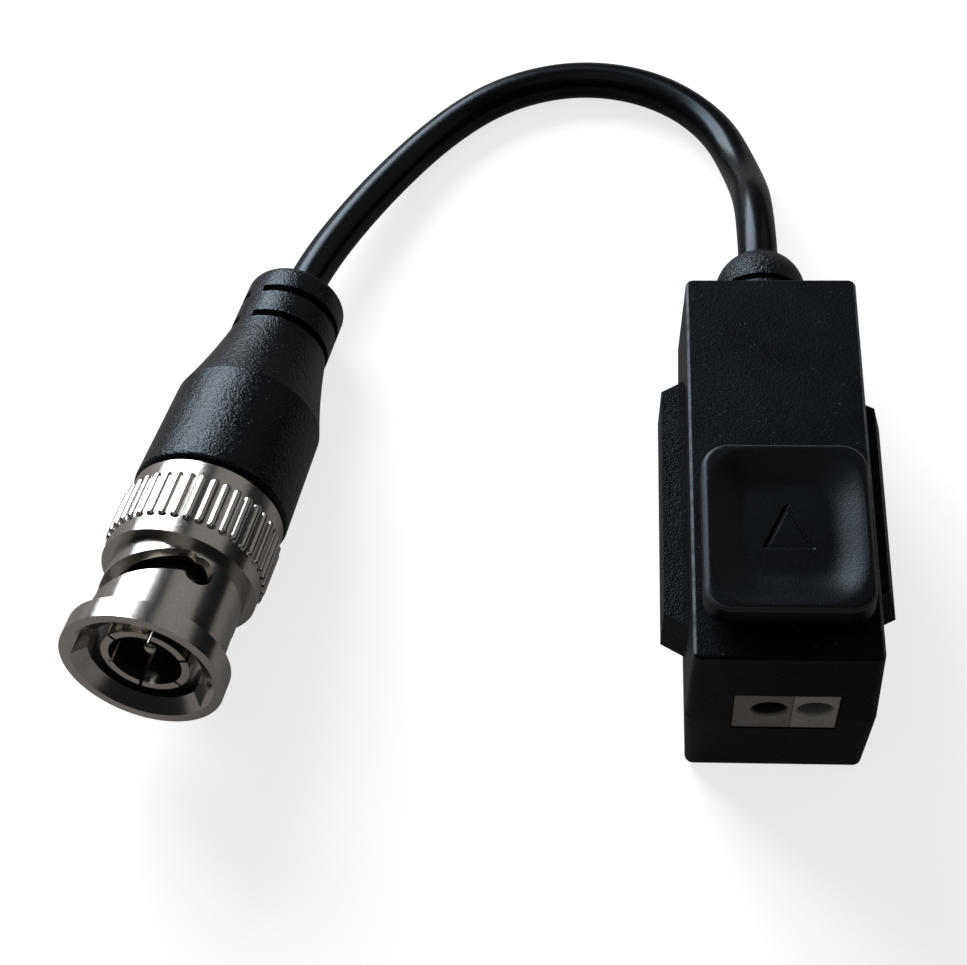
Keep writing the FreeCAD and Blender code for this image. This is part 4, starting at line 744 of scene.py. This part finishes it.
half_angle = math.radians(-16.5)
band_radius, band_front = 0.00725, 0.0095
nut_work = merged_copy("coupling_nut")
bmesh.ops.transform(nut_work, matrix=plug_frame.inverted(), verts=nut_work.verts)
bmesh.ops.bisect_plane(
    nut_work,
    geom=nut_work.verts[:] + nut_work.edges[:] + nut_work.faces[:],
    plane_co=(0, 0, 0),
    plane_no=(-math.sin(half_angle), math.cos(half_angle), 0),
    clear_inner=True,
    dist=0.0000001,
)
straight = []
for vert in nut_work.verts:
    rim_edges = [edge for edge in vert.link_edges if edge.is_boundary]
    if len(rim_edges) == 2:
        ways = [(edge.other_vert(vert).co - vert.co).normalized() for edge in rim_edges]
        if ways[0].dot(ways[1]) < -0.99995:
            straight.append(vert)
bmesh.ops.dissolve_verts(nut_work, verts=straight)
bmesh.ops.triangulate(nut_work, faces=[face for face in nut_work.faces if len(face.verts) > 3])
good_half = nut_work.verts[:] + nut_work.edges[:] + nut_work.faces[:]
other_half = bmesh.ops.duplicate(nut_work, geom=good_half)["geom"]
bmesh.ops.rotate(
    nut_work,
    verts=[part for part in other_half if isinstance(part, bmesh.types.BMVert)],
    cent=(0, 0, 0),
    matrix=Matrix.Rotation(math.pi, 3, "Z"),
)
rim_verts = [vert for vert in nut_work.verts if any(edge.is_boundary for edge in vert.link_edges)]
bmesh.ops.remove_doubles(nut_work, verts=rim_verts, dist=0.00003)
bmesh.ops.recalc_face_normals(nut_work, faces=nut_work.faces)
close_slits(nut_work)
for vert in nut_work.verts:
    out = math.hypot(vert.co.x, vert.co.y)
    if vert.co.z > band_front and out > band_radius:
        vert.co.x *= band_radius / out
        vert.co.y *= band_radius / out
bmesh.ops.dissolve_degenerate(nut_work, edges=nut_work.edges, dist=0.000001)
nut_mesh = smooth_mesh(nut_work, "nut_base", turned_edge)


def ribbed_band():
    """A tree that sets round-ended ribs on a turned body, evenly round the Z axis."""
    tree = bpy.data.node_groups.new("ribbed_band", "GeometryNodeTree")
    tree.interface.new_socket("Body", in_out="INPUT", socket_type="NodeSocketGeometry")
    tree.interface.new_socket("Ribs", in_out="INPUT", socket_type="NodeSocketInt")
    for name in ("Radius", "Width", "Length", "Height", "Middle"):
        tree.interface.new_socket(name, in_out="INPUT", socket_type="NodeSocketFloat")
    tree.interface.new_socket("Material", in_out="INPUT", socket_type="NodeSocketMaterial")
    tree.interface.new_socket("Geometry", in_out="OUTPUT", socket_type="NodeSocketGeometry")
    new, join = tree.nodes.new, tree.links.new
    into, result = new("NodeGroupInput"), new("NodeGroupOutput")

    def result_of(operation, *terms):
        """A math node's result: each term is a socket or a number."""
        node = new("ShaderNodeMath")
        node.operation = operation
        for place, term in enumerate(terms):
            if isinstance(term, (int, float)):
                node.inputs[place].default_value = term
            else:
                join(term, node.inputs[place])
        return node.outputs[0]

    width, length, height = into.outputs["Width"], into.outputs["Length"], into.outputs["Height"]
    size = new("ShaderNodeCombineXYZ")
    join(result_of("MULTIPLY", height, 2.0), size.inputs["X"])
    join(width, size.inputs["Y"])
    join(length, size.inputs["Z"])
    bar = new("GeometryNodeMeshCube")
    join(size.outputs["Vector"], bar.inputs["Size"])
    bar.inputs["Vertices X"].default_value = 2
    bar.inputs["Vertices Y"].default_value = 11
    bar.inputs["Vertices Z"].default_value = 33
    place, parts = new("GeometryNodeInputPosition"), new("ShaderNodeSeparateXYZ")
    join(place.outputs["Position"], parts.inputs["Vector"])
    half = result_of("MULTIPLY", width, 0.5)
    sideways = result_of("DIVIDE", parts.outputs["Y"], half)
    straight = result_of("MULTIPLY_ADD", length, 0.5, result_of("MULTIPLY", half, -1.0))
    past = result_of("SUBTRACT", result_of("ABSOLUTE", parts.outputs["Z"]), straight)
    endways = result_of("DIVIDE", result_of("MAXIMUM", past, 0.0), half)
    squares = [result_of("MULTIPLY", way, way) for way in (sideways, endways)]
    off = result_of("ADD", *squares)
    crown = result_of("SQRT", result_of("MAXIMUM", result_of("SUBTRACT", 1.0, off), 0.0))
    level = result_of("MULTIPLY", height, result_of("MULTIPLY_ADD", crown, 1.3, -0.3))
    moved = new("ShaderNodeCombineXYZ")
    join(level, moved.inputs["X"])
    join(parts.outputs["Y"], moved.inputs["Y"])
    join(parts.outputs["Z"], moved.inputs["Z"])
    outer = new("FunctionNodeCompare")
    outer.data_type, outer.operation = "FLOAT", "GREATER_THAN"
    join(parts.outputs["X"], outer.inputs[0])
    shaped = new("GeometryNodeSetPosition")
    join(bar.outputs["Mesh"], shaped.inputs["Geometry"])
    join(outer.outputs[0], shaped.inputs["Selection"])
    join(moved.outputs["Vector"], shaped.inputs["Position"])
    marked = new("GeometryNodeStoreNamedAttribute")
    marked.data_type, marked.domain = "FLOAT", "POINT"
    marked.inputs["Name"].default_value = "rib"
    marked.inputs["Value"].default_value = 1.0
    join(shaped.outputs["Geometry"], marked.inputs["Geometry"])

    index = new("GeometryNodeInputIndex")
    pitch = result_of("DIVIDE", 2 * math.pi, into.outputs["Ribs"])
    angle = result_of("MULTIPLY", index.outputs["Index"], pitch)
    spot = new("ShaderNodeCombineXYZ")
    join(result_of("MULTIPLY", into.outputs["Radius"], result_of("COSINE", angle)), spot.inputs["X"])
    join(result_of("MULTIPLY", into.outputs["Radius"], result_of("SINE", angle)), spot.inputs["Y"])
    join(into.outputs["Middle"], spot.inputs["Z"])
    spots = new("GeometryNodePoints")
    join(into.outputs["Ribs"], spots.inputs["Count"])
    join(spot.outputs["Vector"], spots.inputs["Position"])
    facing, turn = new("ShaderNodeCombineXYZ"), new("FunctionNodeEulerToRotation")
    join(angle, facing.inputs["Z"])
    join(facing.outputs["Vector"], turn.inputs[0])
    ribs = new("GeometryNodeInstanceOnPoints")
    join(spots.outputs[0], ribs.inputs["Points"])
    join(marked.outputs["Geometry"], ribs.inputs["Instance"])
    join(turn.outputs[0], ribs.inputs["Rotation"])
    together = new("GeometryNodeJoinGeometry")
    join(into.outputs["Body"], together.inputs[0])
    join(ribs.outputs["Instances"], together.inputs[0])
    real, coated = new("GeometryNodeRealizeInstances"), new("GeometryNodeSetMaterial")
    join(together.outputs[0], real.inputs["Geometry"])
    join(real.outputs["Geometry"], coated.inputs["Geometry"])
    join(into.outputs["Material"], coated.inputs["Material"])
    join(coated.outputs["Geometry"], result.inputs["Geometry"])
    return tree


nut_tree = ribbed_band()
nut_base = bpy.data.objects.new("nut_base", nut_mesh)
bpy.context.scene.collection.objects.link(nut_base)
nut_ribs = nut_base.modifiers.new("ribs", "NODES")
nut_ribs.node_group = nut_tree
rib_sizes = {
    "Ribs": 40,
    "Radius": band_radius,
    "Width": 0.00092,
    "Length": 0.0053,
    "Height": 0.00034,
    "Middle": 0.0141,
    "Material": nickel,
}
for socket in nut_tree.interface.items_tree:
    if socket.in_out == "INPUT" and socket.name in rib_sizes:
        nut_ribs[socket.identifier] = rib_sizes[socket.name]
bpy.context.view_layer.update()
ribbed = nut_base.evaluated_get(bpy.context.evaluated_depsgraph_get())
ribbed_mesh = bpy.data.meshes.new_from_object(ribbed)
ribbed_mesh.name = "coupling_nut_ribbed"
nut_base.modifiers.clear()
bpy.data.objects.remove(nut_base)


sleeve_radius, sleeve_back = 0.0063, 0.0103
outer_radii = (sleeve_radius, band_radius, 0.0072, 0.0075)
inner_radii = (0.00525, 0.0067, sleeve_radius)


def turned_normals(mesh):
    """Normals of the nut about the Z axis: exact on its turned faces, the mesh's own on milled ones.

    The sleeve's outer radius is also the bore's, farther back, so the two are told apart by place.
    """
    is_rib = [entry.value for entry in mesh.attributes["rib"].data]
    own = [normal.vector.copy() for normal in mesh.corner_normals]
    normals = [None] * len(mesh.loops)
    for face in mesh.polygons:
        corners = [mesh.vertices[v].co for v in face.vertices]
        outs = [math.hypot(c.x, c.y) for c in corners]
        tall = max(c.z for c in corners) - min(c.z for c in corners)
        thick = max(outs) - min(outs)
        middle = math.hypot(face.center.x, face.center.y)
        radial = (face.normal.x * face.center.x + face.normal.y * face.center.y) / middle
        round_about = (face.normal.y * face.center.x - face.normal.x * face.center.y) / middle
        behind = face.center.z > sleeve_back
        turned_to = 0
        for radii, way in ((outer_radii, 1), (inner_radii, -1)):
            for radius in radii:
                on_it = all(abs(out - radius) < 0.00003 for out in outs)
                placed = radius != sleeve_radius or behind == (way == -1)
                if on_it and tall > 0.00002 and placed:
                    turned_to = way
        for loop, corner, out in zip(face.loop_indices, corners, outs):
            x, y = corner.x / out, corner.y / out
            flat = math.hypot(radial, face.normal.z)
            if is_rib[mesh.loops[loop].vertex_index] > 0.5:
                normals[loop] = own[loop]
            elif turned_to:
                normals[loop] = Vector((x * turned_to, y * turned_to, 0))
            elif tall < 0.000004 and thick > 0.00002:
                normals[loop] = Vector((0, 0, math.copysign(1, face.normal.z)))
            elif abs(round_about) < 0.30 and abs(face.normal.z) < 0.8:
                normals[loop] = Vector((x * radial / flat, y * radial / flat, face.normal.z / flat))
            else:
                normals[loop] = own[loop]
    return normals


ribbed_mesh.normals_split_custom_set(turned_normals(ribbed_mesh))
ribbed_mesh.transform(plug_frame)
nut_piece = add_piece("coupling_nut_ribbed", ribbed_mesh, nickel, "nut", "coupling_nut")

# The boot: soft black plastic moulded over the plug's back, with a leathery grain and a slotted
# collar that lets it bend. It is a copy of the CAD's boot whose collar has its skin laid anew.
boot_dark, boot_light = (0.0016, 0.0021, 0.0028), (0.0055, 0.007, 0.009)
boot_black = plastic(
    "boot_black", boot_dark, boot_light, 0.24, 4600, 2200, 0.35, 0.00013, 0.26, 0.1
)


def lay_skin(work, radius, low, high, seam):
    """Lays a slotted cylinder's skin anew between its edges, where the CAD mesh has folded triangles.

    The skin is unrolled from the seam angle, filled with triangles there and rolled up again.
    """
    skin = []
    for face in work.faces:
        levels = [vert.co.z for vert in face.verts]
        on_it = all(abs(vert.co.xy.length - radius) < 0.00004 for vert in face.verts)
        if on_it and min(levels) > low and max(levels) < high and max(levels) - min(levels) > 0.000002:
            skin.append(face)
    bmesh.ops.delete(work, geom=skin, context="FACES")
    loops, left = [], {edge for edge in work.edges if edge.is_boundary}
    while left:
        edge = left.pop()
        first, at = edge.verts
        loop = [first]
        while at is not first:
            loop.append(at)
            edge = next(e for e in at.link_edges if e in left)
            left.remove(edge)
            at = edge.other_vert(at)
        loops.append(loop)
    bottom = min(loops, key=lambda loop: sum(v.co.z for v in loop) / len(loop))
    top = max(loops, key=lambda loop: sum(v.co.z for v in loop) / len(loop))

    def turn_from(vert, start):
        """How far round the axis a vertex lies from a start, from 0 to a full turn."""
        return (math.atan2(vert.co.y, vert.co.x) - start) % (2 * math.pi)

    def centred(angle):
        """The same angle between minus and plus half a turn."""
        return (angle + math.pi) % (2 * math.pi) - math.pi

    ends = [min(rim, key=lambda vert: abs(centred(turn_from(vert, seam)))) for rim in (bottom, top)]
    base = math.atan2(ends[0].co.y, ends[0].co.x)
    shift = centred(turn_from(ends[1], base))
    flat, owners, edges, places = [], [], [], {}
    for loop in loops:
        end = ends[0] if loop is bottom else ends[1] if loop is top else None
        start = base + (shift if loop is top else 0.0)
        for vert in loop:
            turn = 0.0 if vert is end else turn_from(vert, start)
            places[vert] = len(flat)
            flat.append(Vector((turn + start - base, vert.co.z / radius)))
            owners.append(vert)
            if vert is end:
                flat.append(Vector((turn + start - base + 2 * math.pi, vert.co.z / radius)))
                owners.append(vert)
        for one, other in zip(loop, loop[1:] + loop[:1]):
            a, b = places[one], places[other]
            if one is end and flat[b].x > math.pi:
                a += 1
            if other is end and flat[a].x > math.pi:
                b += 1
            edges.append((a, b))
    edges += [(places[ends[0]], places[ends[1]]), (places[ends[0]] + 1, places[ends[1]] + 1)]
    slots = [loop for loop in loops if loop is not bottom and loop is not top]
    holes = [[flat[places[vert]] for vert in loop] for loop in slots]
    filled = delaunay_2d_cdt([spot * 1000 for spot in flat], edges, [], 0, 0.0001)
    for corners in filled[2]:
        spots = [filled[0][c] / 1000 for c in corners]
        middle = (spots[0] + spots[1] + spots[2]) / 3
        area = abs((spots[1] - spots[0]).cross(spots[2] - spots[0]))
        in_hole = False
        for hole in holes:
            crossings = 0
            for p, q in zip(hole, hole[1:] + hole[:1]):
                if (p.y > middle.y) != (q.y > middle.y):
                    crossings += middle.x < p.x + (middle.y - p.y) / (q.y - p.y) * (q.x - p.x)
            in_hole = in_hole or crossings % 2 == 1
        verts = [owners[filled[3][c][0]] for c in corners]
        if area > 0.0000001 and not in_hole and len(set(verts)) == 3:
            work.faces.new(verts)
    bmesh.ops.recalc_face_normals(work, faces=work.faces)
    close_slits(work)


collar_radius, collar_front, collar_back, collar_seam = 0.00505, 0.0390, 0.0473, math.radians(56)
boot_edge = 0.22
boot_work = merged_copy("plug_boot")
bmesh.ops.transform(boot_work, matrix=plug_frame.inverted(), verts=boot_work.verts)
lay_skin(boot_work, collar_radius, collar_front, collar_back, collar_seam)
bmesh.ops.transform(boot_work, matrix=plug_frame, verts=boot_work.verts)
boot_mesh = smooth_mesh(boot_work, "plug_boot_smooth", boot_edge)
boot_piece = add_piece(
    "plug_boot_smooth", boot_mesh, boot_black, "housing", "plug_boot"
)
